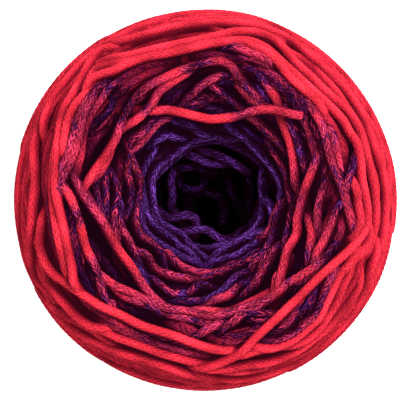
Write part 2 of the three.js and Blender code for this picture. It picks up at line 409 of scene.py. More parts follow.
# Gives a tone to each place of a table's row that has none
def with_tones(places):
    full = []
    for place in places:
        full.append(place if len(place) == 3 else (*place, full[-1][2]))
    return full


# Lays a crown cord along a row of the tables
def lay_route(places, top, bridge=0.0, first=FIRST_HEIGHT):
    route = smooth_route(with_tones(places), extra=END_EXTRA)
    course = [bed_under(*plan_of_seen(x, y)) for x, y, _ in route]
    return lay(course, [tone for _, _, tone in route], top=top, bridge=bridge, first=first)


# How much of the light from above each place of each cord loses to higher cords around it, 0 to 1. The
# finish paints this as shade into the cord's colour.
def shade_cords(cords):
    tree = laid_tree()
    for cord in cords:
        for index, (middle, facing) in enumerate(zip(cord.middles, cord.facings)):
            top = middle + facing * HALF_CORD
            covered = 0.0
            for place, _, distance in tree.find_range(top, SHADE_REACH):
                rise = (place - top).dot(facing)
                if rise > 0.0:
                    covered += rise * LAID_STEP * CORD / (math.pi * max(distance, HALF_CORD) ** 3)
            cord.shades[index] = min(covered, 1.0)


# The cords of the crown, as seen from above: places x and y in millimetres, and the tone there. A
# place without a tone has that of the place before it. Tone runs from 0, black, through 1, purple,
# and 2, purple and red mixed, to 3, red. Within each table the lower cords come first.

# Deep ones that show in the gaps
DEEP_CORDS = [
    [(-37, 11, 2.3), (-36.2, 16), (-34, 20, 2.2), (-30.5, 22)],
    [(-37.5, 21, 1.6), (-34.5, 24.5, 1.5), (-31, 28, 1.4), (-29, 31)],
    [(-29.5, 33, 1.6), (-27, 35, 1.8), (-24, 37.5, 2.3), (-20, 39.8, 2.6), (-15, 41.8, 2.5),
     (-11, 43, 2.4)],
    [(-30, 36.5, 2.2), (-26, 40, 2.3), (-21, 42.8, 2.4), (-15, 44.3), (-8, 45.5, 2.3)],
    [(-28.5, 17, 1.2), (-27.2, 20.5), (-25, 22.8), (-22, 25), (-18.5, 26.3), (-14.5, 27), (-9, 27.2, 1.1)],
    [(-30.5, 10, 1.3), (-28.3, 13.5), (-26, 16.2), (-23.8, 18, 1.2), (-20.5, 19.8, 1.1), (-16, 20.8, 1),
     (-11, 20.4), (-7.5, 18.8)],
    [(-16, 31.3, 1.4), (-12.5, 33.5, 1.5), (-9.3, 35.6), (-6.5, 38, 1.4), (-4, 40.5, 1.3)],
    [(-11, 29, 1.5), (-9, 32.5, 1.6), (-7, 35.3), (-5, 38)],
    [(-14, 29.5, 1.6), (-11.5, 31.8), (-8.5, 34.3, 1.5)],
    [(7, 47.8, 1.7), (11, 46.3, 2), (15.5, 44.3, 2.2), (20, 41.8, 2.4), (24.5, 38.8, 2.3), (28, 35, 2),
     (30.5, 31.5, 1.8), (33, 27.5, 1.7)],
    [(10, 44.5, 1.6), (14.5, 42.5, 1.7), (19, 40, 1.8), (23, 37), (26.5, 33.8, 1.6), (29, 30), (31, 26)],
    [(-5, 46.3, 2.3), (-1, 46.9, 2.4), (3.5, 47.3), (8, 46.4, 2.2), (12, 44.5, 2), (15, 41, 2.2)],
    [(32.5, 20.5, 2.4), (33.8, 17), (34.5, 13.5, 2.3), (35, 10), (36, 5, 2.2)],
    [(33.5, 26, 1.9), (34.8, 23, 2), (36.2, 20.3, 2.1), (37.5, 17), (38.5, 12.5, 2.2), (39.3, 8, 2.4)],
    [(36, 22, 2.2), (37, 18, 2.1), (37.6, 13, 2), (37.5, 8), (36.5, 3)],
    [(39, 5, 2.5), (38, 1.6), (36.5, -1), (34.8, -4.2), (33.5, -7, 2.4)],
    [(42, 3, 2.4), (41.5, -1, 2.6), (39.8, -4.7), (38.2, -8, 2.5), (36.8, -11.5, 2.4), (35.5, -15, 2.3)],
    [(45, 9, 2.3), (46.5, 5, 2.4), (47.3, 0, 2.6), (48, -4, 2.7), (48.3, -8)],
    [(43.5, -4, 2.7), (44, -8, 2.5), (43, -12, 2.3), (41, -15.5)],
    [(36.4, -27, 1.7), (35, -30, 1.6), (33.6, -33.4, 1.5), (31.8, -36.6, 1.6), (29.3, -39.7, 2),
     (26.5, -42.3, 2.2)],
    [(31, -34.5, 2.4), (28.8, -38), (26.5, -41, 2.3), (23, -43.3, 1.7), (19.8, -44.8, 1.5),
     (15.5, -46.2, 1.8)],
    [(29.3, -19.5, 1.4), (28, -22), (26.3, -24.7)],
    [(29.8, -12, 1.6), (29.3, -15), (28.2, -18.5)],
    [(-42, -4.5, 1.7), (-41.7, -9, 1.6), (-41.2, -14, 2.2), (-41, -18.5, 1.8), (-39.8, -23.6, 1.6),
     (-38.3, -27, 1.4), (-36.5, -30)],
    [(-44.7, -1, 1.8), (-43.4, -5, 1.9), (-42.6, -11, 2), (-42, -16, 2.2)],
    [(-35.5, -13, 1.4), (-33.6, -17, 1.7), (-31.3, -19.8, 1.6), (-29, -22.6, 1.4), (-25.5, -26.5, 1.3),
     (-21, -29.5)],
    [(-40.5, -33, 2.6), (-37.5, -35.3), (-34, -37.6, 2.5), (-30, -40, 2.6), (-26.5, -42, 2.7),
     (-22.5, -43.7, 2.4), (-18, -45.3, 2.1)],
    [(-25, -40.2, 2.5), (-20, -42, 1.8), (-15, -43.8, 2.1), (-10, -45.4, 2.2), (-5, -47.3), (0, -49, 2.4),
     (5, -50, 2.6)],
    [(-28, -32.8, 2), (-23.6, -34.9, 1.6), (-19.4, -36.5), (-15.5, -37.7, 1.7), (-11, -39, 2.4),
     (-7, -41, 2.5), (-3, -43, 2.3)],
    [(-11, -37.5, 2.5), (-7.5, -39.3, 2.6), (-4, -41.3), (-1, -44, 2)],
    [(5.5, -43.3, 2.2), (9, -43.8), (13, -43.2, 1.9), (16.5, -41.3, 1.8), (19, -39, 1.9)],
    [(6, -46, 2.4), (10, -45.7), (14, -44.5, 2.3)],
    [(-51.8, 14, 2.8), (-52, 7), (-51.8, 0, 2.5), (-51, -8, 2.2), (-49.8, -15, 2.5)],
    [(-57.8, 14, 3), (-57.8, 5), (-57.5, -5), (-56.6, -14), (-54, -24)],
    [(-21, -51, 3), (-14, -53), (-7, -55), (0, -56.7), (7, -57.8)],
    [(-43, -41, 3), (-38, -44.2), (-32, -46.8), (-26, -49)],
    [(52.5, -13, 3), (51.3, -19), (49.8, -25), (47, -30)],
    [(-50.6, 22.5, 2.8), (-51.9, 18.5), (-52.8, 14), (-53.3, 8), (-53.4, 2)],
    [(36.3, -31, 1.9), (35.3, -34, 1.8), (33.8, -37, 1.9), (31.6, -39.6, 1.8)],
    [(36.5, 31.5, 2.8), (38.8, 28.6), (41.3, 25.2), (43.3, 21.5), (44.8, 17.5), (46, 13.5, 2.7)],
    [(-41, -36, 2.7), (-37.5, -38.5, 2.6), (-33.6, -40.4), (-29.5, -42.3, 2.5), (-25, -44, 2.4),
     (-20, -46, 2.3), (-14, -48.1), (-8.4, -49.8, 2.4), (-1.4, -51.2, 2.5), (3, -51.7, 2.6)],
    [(-2, 25.5, 0.8), (3, 24.5, 0.7), (8, 23.5), (13, 21, 0.8), (17, 17.5)],
    [(-20.5, 14, 0.9), (-19.5, 16), (-18, 18), (-16, 20), (-13, 22)],
    [(29.5, -1.5, 1.8), (28.5, -5), (27.8, -9), (26.3, -13), (24.5, -17)],
    [(-32, 10.5, 1.6), (-32.1, 6, 1.5), (-31.6, 2), (-31.5, -3, 1.4), (-31.8, -7, 1.3)],
]

# Purple ones around the hole
PURPLE_CORDS = [
    [(18, 4, 0.7), (18.9, 0.5, 0.8), (19, -3), (18, -6.8, 0.85), (15.8, -9.8, 0.9), (12.5, -12.2),
     (8.5, -14)],
    [(20.8, -4.5, 0.9), (19.9, -8), (17.8, -11), (14.8, -13.2, 0.95)],
    [(-6.5, -11.2, 0.95), (-3, -13.2), (1.5, -14.4), (6, -14.6), (10, -13.6, 0.9)],
    [(-20.2, -1, 1), (-19.8, -3.8), (-19, -7.3), (-17, -10.7, 0.9), (-13.2, -13.2), (-9.4, -15.6),
     (-5.5, -17.7, 1), (-1, -18.8)],
    [(-16, 1, 1), (-15.5, -3.5), (-14.4, -6.9), (-11.4, -10), (-8.7, -12.5), (-6.2, -14.8),
     (-3, -17, 0.9)],
    [(-15, 14.5, 1), (-16.5, 12.6), (-18.1, 10), (-19.2, 6.6), (-19.7, 2.4), (-19.4, -1.7), (-18.6, -4.9),
     (-16.8, -7.6), (-14.2, -9.9), (-11, -12), (-8, -14.2)],
    [(-17, 16.8, 0.8), (-15, 19.3, 0.9), (-12.3, 20.6), (-9.8, 20.2), (-7, 18.8, 0.8)],
    [(8.8, 17.9, 1), (5.2, 17.7), (1.7, 17.5), (-1, 17.8), (-3.5, 17.1), (-6.4, 14.9), (-9.4, 12.3),
     (-12.6, 9.2), (-14.6, 6.2), (-15.3, 2.4), (-14.9, -1.7), (-13.9, -5.2), (-12.1, -7.8), (-9.7, -9.6),
     (-7.3, -11), (-5.4, -13.3), (-3.8, -15.2), (-1.2, -16.7), (2, -17.6, 0.9)],
    [(3, -18.8, 0.9), (5.2, -18.1, 1), (8.7, -17.1), (13.2, -15.6), (16.5, -13.7), (19.5, -10.8)],
    [(2, -18.3, 1), (4.2, -17), (6.6, -15.6), (8.7, -14.3), (11.4, -13.2), (15, -12), (18, -9.5)],
    [(-9.5, 24.2, 0.9), (-6.6, 23.7, 1), (-4.5, 23), (-2.1, 21.6), (0.8, 19.8, 0.9)],
    [(17.6, 8, 0.7), (18.4, 4.5), (19.1, 1), (21.2, -1.7, 0.8), (21.8, -4.5, 0.9), (21, -8, 1)],
]

# Purple and mixed ones that stand up between the others
RAISED_CORDS = [
    [(8, 21.8, 0.9), (11.1, 19.8, 1), (13.9, 17.3), (16.6, 14.3, 1.05), (18.7, 11.8), (20.8, 8.7),
     (22.5, 5.5), (23.6, 2.4, 1), (23.7, -1, 0.9)],
    [(19.5, 17, 1.8), (21.7, 14, 1.9), (23.8, 10.5, 2), (25.3, 6.5), (26.5, 2, 2.1), (27, -1.5, 2)],
    [(-35.1, 10.5, 1.9), (-35.6, 6, 2), (-35.4, 2), (-34.4, -2, 1.9), (-33.2, -6.5, 1.8), (-32, -11, 1.9)],
    [(-32.5, 13, 1.6), (-32, 9.5, 1.7), (-31.8, 5.5, 1.8), (-31.7, 1, 1.7), (-31.6, -3.5),
     (-30.6, -8, 1.8)],
    [(-26.3, 13.5, 2.3), (-26.8, 9.5), (-26.6, 5, 2.1), (-26.6, 0.5, 1.9), (-26.3, -4, 2),
     (-25.3, -8, 2.3), (-23.6, -12), (-21.5, -15.5, 2.2)],
    [(-36.5, -22, 1.9), (-35, -25.5, 2), (-33, -28.5, 1.9)],
    [(28.8, 1, 1.9), (28, -3), (27.2, -7, 2), (26, -11), (24.5, -14.5)],
    [(37.5, 4, 2.2), (36.8, 0, 2.3), (36, -4, 2.4), (35.5, -8)],
]

# Mixed ones between the purple and the red
MIXED_CORDS = [
    [(-20.6, 8, 1.1), (-21, 4), (-21.3, 0, 1.2), (-21.2, -4), (-20.5, -8, 1.3), (-18.3, -11.5, 1.2),
     (-15, -14.2)],
    [(-23.5, 18.5, 2), (-23.9, 15.5), (-23.6, 12.4, 2.1), (-22.3, 9.2, 2.2), (-21.4, 5.2, 2),
     (-21.9, 1.7, 1.7), (-22.8, -1.7, 1.9), (-23, -5.2, 2.1), (-22.4, -8.7), (-20.5, -11.8),
     (-17.8, -14, 1.9), (-14.8, -16.6, 1.8), (-12.5, -19.3, 1.7)],
    [(-24.5, 16.5, 2), (-25, 13, 2.1), (-25.7, 9.5, 2.2), (-24.9, 6, 2.1), (-24.5, 2.5, 1.6),
     (-25, -1, 1.5), (-25.2, -5, 1.6)],
    [(-34.6, 12, 1.8), (-35.2, 8), (-35.4, 4), (-35, 0.5, 1.7), (-33.6, -4, 1.6), (-32.4, -8, 1.5)],
    [(-28.3, 2, 1.3), (-27.7, -2, 1.4), (-28, -6, 1.8), (-27, -9.5, 2.2), (-25.2, -12.2),
     (-23.7, -15.2, 2.1), (-21.9, -18.2, 1.9), (-19.9, -21, 1.4), (-18, -23, 1.3)],
    [(-29.8, 9, 1.9), (-29.2, 5.5), (-28.7, 2.2, 1.8), (-29.2, -1, 1.7), (-30, -5, 2.1), (-29.6, -9, 2.2),
     (-28.1, -13), (-26.4, -16.6, 2), (-24.2, -19.4, 1.6), (-21.8, -21.9, 1.2), (-19.6, -24.6, 1.3),
     (-17.5, -27.5, 1.4)],
    [(6, -22.3, 1.3), (9.5, -21.2, 1.2), (13.5, -19.6), (17, -17.4, 1.4), (20.5, -14.2, 1.6)],
    [(-13.8, -15.8, 1.8), (-11.1, -17.8, 2.3), (-8.7, -19.3), (-5.2, -21, 2.4), (-1.7, -21.7),
     (3, -21.4, 2.5), (6.5, -20.1, 2.2), (9.7, -19.2, 1.6), (13.5, -18.2, 1.4), (17.2, -16.2, 1.6)],
    [(24, -1, 2.2), (23.6, -3.8), (22.9, -6.9), (21.6, -10, 2.3), (19, -12.2, 2.2), (15.6, -14, 1.6)],
    [(23.8, -3, 1.6), (23.4, -7, 1.7), (22.6, -11, 1.8), (21.2, -14.5, 1.9), (18.8, -17.8), (16.3, -20.6),
     (13, -23.3, 1.8)],
    [(-22.5, -15.8, 2), (-20, -17.4, 2.2), (-17, -19.3), (-13.9, -21.6, 2.3), (-10.4, -23.1, 2.4),
     (-6.6, -23.9, 2.3), (-2.4, -24.5, 2), (1.7, -24.2, 1.7), (5.2, -23.4, 2.2), (9, -22.2, 1.8),
     (13, -20.6, 1.7), (17, -19, 1.9), (20.2, -16.5, 2)],
    [(8.4, -26.4, 1.5), (12.6, -25.6), (15.6, -24, 1.6), (18.2, -21.8, 1.9), (20.3, -19, 2), (22, -15.5)],
    [(11.5, -30, 1.9), (14, -28.2, 2), (16.3, -26.4, 2.1), (18.5, -24, 2.2), (20.3, -21.3), (22, -18),
     (23.3, -14.5, 2.1)],
    [(-9.5, -31.4, 1.4), (-4.2, -31.6, 1.5), (0, -31.3, 1.4), (3.2, -30, 1.1), (5.6, -28.8),
     (8, -27, 1.3), (10.5, -24.8, 1.4), (14, -22.7, 1.5)],
    [(-15.5, -25, 1.6), (-14, -26.5, 1.8), (-11.8, -28.3, 2), (-9.6, -29.4, 1.9), (-7, -29.2, 1.2),
     (-4.6, -28.9, 1.9), (-2.6, -27.6, 1.7), (0, -26.8, 1.4)],
    [(1.5, -32.3, 2.2), (4.2, -31.7, 2.5), (6.5, -30.9, 2.6), (8.7, -29.4, 2.5), (10.7, -27.9, 2),
     (13, -26.8, 1.2)],
    [(-19, -32, 2.2), (-15.5, -34.8, 2), (-11.5, -36.3, 2.3), (-7.5, -37.3, 2.4), (-3, -38.3, 2),
     (1, -39, 2.4), (4.5, -39.4, 2.3), (8, -39.4, 2.2)],
    [(-2.5, -43.5, 1.8), (-0.5, -42.4, 2.4), (1.5, -41.3, 2.5), (4, -40.2, 2.3), (6, -38.8, 1.8)],
    [(12, -37.6, 1.4), (15.2, -38.3, 1.9), (18.5, -38, 2.2), (21, -37, 2)],
    [(6.5, -40.8, 2), (9.3, -39.3, 2.3), (11.2, -37.4), (14, -36.3, 1.5), (17.5, -36.5, 2.1),
     (20.5, -36.2, 2)],
    [(-5, -34.6, 2.4), (-2, -34.8, 2.6), (2, -35, 2.7), (6, -35.1, 2.6), (9.3, -34.3), (12.6, -32.7, 2.7),
     (15.6, -30.9, 2.8), (18.5, -29.3), (21.5, -27.9, 2.6)],
    [(-16.5, -31.5, 2.4), (-13.3, -34.3, 2.2), (-10.2, -35.4, 2.3), (-6.8, -35.8, 2.5), (-3.6, -36.4),
     (0, -37.2), (3.6, -37.5), (7.2, -36.7, 2.3), (10.7, -35.7, 2.4), (14, -34.6), (17.2, -33.4),
     (19.8, -32, 2.3), (22.8, -30.2, 2.5), (25, -28.3, 2.7)],
    [(36.8, -20.4, 2.3), (33.8, -23.3, 2.4), (30.8, -25.8, 2.2), (28.2, -27.8, 1.6)],
    [(41.5, -14.8, 1.9), (39.6, -17.3, 2), (37.6, -19.8, 2.1), (35, -22, 2.6), (32, -23.9), (29.2, -25.7),
     (26.7, -27.1, 2.2), (25, -28.7, 2.6), (22.6, -30.5), (20.4, -32.4, 2.3), (17.8, -34),
     (14.8, -35.4, 2.2), (11.5, -36.4, 1.9)],
    [(5, 37.3, 1.2), (8, 37.6), (11.5, 37.6), (14.5, 37), (17, 35.6), (19, 33, 1.5), (20.5, 30, 1.6)],
    [(12, 34.3, 1.9), (13.7, 32, 1.8), (15.3, 29.8), (16.5, 27)],
    [(11, 36.3, 2.4), (13, 34.8, 2.5), (14.9, 32.9), (17, 31.3, 2.4), (19.5, 29.8, 2.1)],
    [(-1, 37.4, 2), (1.5, 36.8, 2.1), (3.4, 35.3), (6, 33.4, 1.6), (8.5, 31.3, 1.8), (10.8, 29.2, 2),
     (13.5, 26.4, 2.3), (16, 24.5, 2.2), (18.8, 22), (21.3, 19.7), (23.6, 17.3, 2.1), (25.5, 14, 2)],
    [(-7.5, 29.5, 1.7), (-5.8, 32, 1.9), (-4, 34, 2), (-1.7, 36.6, 2.3), (1.2, 38.6), (4.4, 39.9, 2.4),
     (7, 40.2, 1.6), (10.3, 39.4, 2.4), (13, 37.6, 2), (15.5, 35, 2.2), (17.8, 32)],
    [(13, 46.5, 2.3), (16.3, 45.6, 2.4), (19.5, 44, 2.3)],
    [(6.5, 49.3, 1.6), (9.5, 48.9, 2.3), (12, 48.1, 2.5), (14.5, 46.9, 2.6), (17.5, 45.9),
     (20.5, 44.8, 2.4)],
    [(-22.7, 19.5, 2.2), (-20.8, 21.6), (-19, 23.5, 2.1), (-17, 25.3, 1.9), (-14.5, 26.8, 1.6)],
    [(-25.5, 14.3, 1.9), (-23.8, 16.4, 2.1), (-21.5, 18.4, 2.3), (-19, 20.6, 2.4), (-16.8, 22.8),
     (-14.5, 25), (-12, 26.3, 2.1), (-9, 27, 1.4)],
    [(-46, 13, 1.4), (-45, 16, 1.3), (-44.5, 19, 2), (-43.8, 22), (-42.5, 25.2, 2.2), (-41, 28.5, 2.5)],
    [(-46.7, 6, 2.6), (-46.2, 9.3, 2.4), (-45, 12.3), (-43.7, 15.6, 2.5), (-42.7, 19, 2.3),
     (-41.5, 23, 2.2), (-40.2, 26.5, 2.3), (-38.7, 30.2, 2.4), (-36.9, 33.6, 2.2), (-34.9, 36.4, 1.7),
     (-32.5, 38.5, 1.6)],
    [(-40.6, 7.5, 2.6), (-40.5, 11), (-39.6, 14.2, 2.7), (-39.3, 18, 2.6), (-38.8, 22, 2.5), (-37.5, 26),
     (-35.6, 29.6), (-33.6, 32.6), (-31.8, 35.2, 2.2), (-29.8, 37.4, 1.7)],
    [(-47, 0, 2.4), (-46.8, 3.5, 2.2), (-45.7, 7.3, 2.4), (-44, 10.6, 2.3), (-42.6, 14, 2.6),
     (-41.3, 17.6), (-40.4, 21, 2.5), (-39.6, 24.5, 2.4), (-38.3, 28), (-36.6, 31.4), (-34.7, 34.5, 2.1),
     (-32.7, 37, 1.7)],
    [(25.3, 28.5, 1.8), (26.8, 25.2, 1.9), (28, 22.3), (29.2, 18.5, 1.6), (30.2, 14.7, 1.4), (31, 11, 2),
     (31.5, 7.5, 1.8)],
    [(40.5, 22.5, 2.3), (41.6, 19.6, 2.4), (42.6, 15.4, 2.6), (43.3, 11), (43.9, 7.3, 1.9),
     (44.6, 3.5, 2.2)],
    [(48.8, 14.5, 2), (47.8, 12, 1.8), (46.8, 9.6, 1.7), (46, 7, 2), (45.3, 4, 2.2), (44.9, 0.5, 2.3)],
    [(30.3, 3.5, 2), (31.2, 0.8, 2.3), (32, -2.3, 2.4), (32.8, -5.6, 2.5), (33.6, -8.7, 2.8),
     (33.8, -11.5, 2.7), (33.3, -14.3, 2.5), (32.7, -17.5, 2)],
    [(44.8, 0, 1.2), (43, -2.2, 1.6), (41.6, -5, 2.4), (40.1, -8.2, 2.6), (38.7, -11.4, 2.5),
     (37.4, -14.4, 2.7), (36.2, -17.5, 2.6), (35, -20.5, 2)],
    [(43.2, -21, 2.3), (41.8, -23.6), (40.2, -27), (38.8, -30.2, 2.1), (37.6, -33.2, 1.8), (36.2, -35.8),
     (34.6, -38.2, 2.2), (32.4, -40, 2.4), (30.4, -42, 1.8), (28, -43.6, 2.1), (24.6, -44.9, 2),
     (20.6, -46.1, 2.1)],
    [(-46.6, 6.5, 2.2), (-45.8, 4.8, 2.3), (-44.3, 2.6, 2.8), (-43, 0), (-41.6, -3, 2.4),
     (-40.4, -6.2, 2), (-39.6, -9, 2.9), (-38.6, -13), (-37.4, -16.8), (-36, -20, 2.4), (-34.9, -23, 2),
     (-34, -26, 2.3), (-33.1, -28.8), (-31.9, -31.2, 1.8), (-30, -33.3, 2.4)],
    [(-34.2, -23.2, 2.2), (-32.5, -25.2, 2.6), (-29.8, -27.2, 2.7), (-27, -29.5), (-24.2, -31.5, 2.6),
     (-21, -33.1, 2.2), (-17.6, -34.6, 1.9), (-14, -36, 1.8)],
    [(-31, -26.5, 2.3), (-27.8, -28.3, 2.6), (-24, -30), (-20.5, -31.8, 2.5), (-17, -33.5, 2.4),
     (-13.6, -34.8, 2.3), (-10, -35.6)],
    [(-38.8, 4.5, 2.3), (-38, 1.2, 2.4), (-36.3, -2, 2.3), (-34.2, -5.2, 2.4), (-32.2, -8.7, 2.3),
     (-30, -12.4, 2.5), (-27.7, -16)],
    [(-41.8, 7.5, 2.3), (-40.9, 4.6, 2.4), (-39.7, 2.2, 2.5), (-37.7, -1, 2.4), (-35.5, -4.2, 2.5),
     (-33.4, -7.4), (-31.4, -10.8, 2.7), (-29.2, -14.6, 2.8), (-26.6, -18.3, 2.9), (-24, -21.6),
     (-22, -24.8, 2.6), (-20, -27.8, 2.5), (-17.8, -30.6), (-15.2, -33), (-12, -35, 2.3)],
    [(18, 39.5, 1.3), (19.5, 37.4, 1.9), (21.2, 34.9, 2.8), (22.8, 32.3), (23.6, 29.4, 2.6),
     (24.3, 26, 2.8), (25.4, 22), (26.7, 18, 2.9), (27.5, 14, 2.8), (28.1, 10, 2.6), (29, 6.5, 2.5),
     (29.7, 3, 2.2)],
    [(26, -19, 2.4), (24.6, -22.2, 2.5), (23.3, -25.5, 2.6), (22.3, -28.3, 2.7)],
    [(35.2, 12.5, 2.3), (34.6, 10, 2.5), (33.5, 6.5, 2.8), (32.3, 2.5, 2.6), (31.3, -1.5, 2.5),
     (30.2, -5.4, 2.7), (29, -9.4, 2.8), (27.7, -13), (26.8, -16.5, 2.7), (26, -20), (25.1, -23.4),
     (24.1, -26.7, 2.6), (23, -29.5)],
    [(33, 31.5, 2), (34.6, 29.4, 2.4), (36.2, 26.8, 2.7), (37.8, 23.8, 2.5), (38.8, 20.6, 2.3),
     (39.7, 17, 2.4), (40.8, 13.2, 2.5), (42.3, 9, 2.2), (43.8, 5.3), (45, 1.6, 2.5), (45.9, -2),
     (46.8, -5.6, 2.6), (47.7, -9.2, 2.3), (48.6, -12.5, 2.4)],
]

# The band that crosses over the hidden start of the loose end
CROSSING_CORDS = [
    [(-23, 31, 2.3), (-21, 33.2, 2.5), (-18.5, 35, 2.6), (-15.5, 36.8, 2.7), (-12.2, 38.6, 2.8),
     (-9.2, 40.4), (-6.3, 42, 2.6)],
    [(-36.2, 7, 2.6), (-34.5, 10.5, 2.7), (-32.4, 13.8, 2.8), (-30.3, 17.2), (-28.2, 20.8, 2.5),
     (-26, 23.6, 2.6), (-24, 26, 2.8), (-21.8, 28), (-19.8, 29.9, 2.3), (-17.4, 32.2, 2.6),
     (-15.2, 34.9, 2.5), (-12.2, 37, 2.7), (-9.3, 39, 2.8), (-6.3, 40.8, 2.7), (-3.6, 42.6, 1.7),
     (-0.5, 43.3, 1.6)],
    [(-39.3, 4, 2.7), (-38.3, 7, 2.8), (-36.4, 10.5, 2.9), (-34, 14), (-31.8, 17.5, 2.8),
     (-29.6, 20.8, 2.6), (-28, 24, 2.4), (-26.6, 27.3, 1.8), (-24.7, 30.6), (-22.6, 33.6, 1.9),
     (-19.8, 36.1, 2.3), (-16.5, 38, 2.5), (-12.8, 39.7, 2.7), (-9, 41.6, 2.8), (-5.6, 43, 2.2),
     (-2, 44, 1.8), (1.5, 44.6, 2.4), (4.8, 44.9, 2.7), (7.7, 43.8, 2.6), (10, 41.8, 2.4), (12, 39, 2.2)],
]

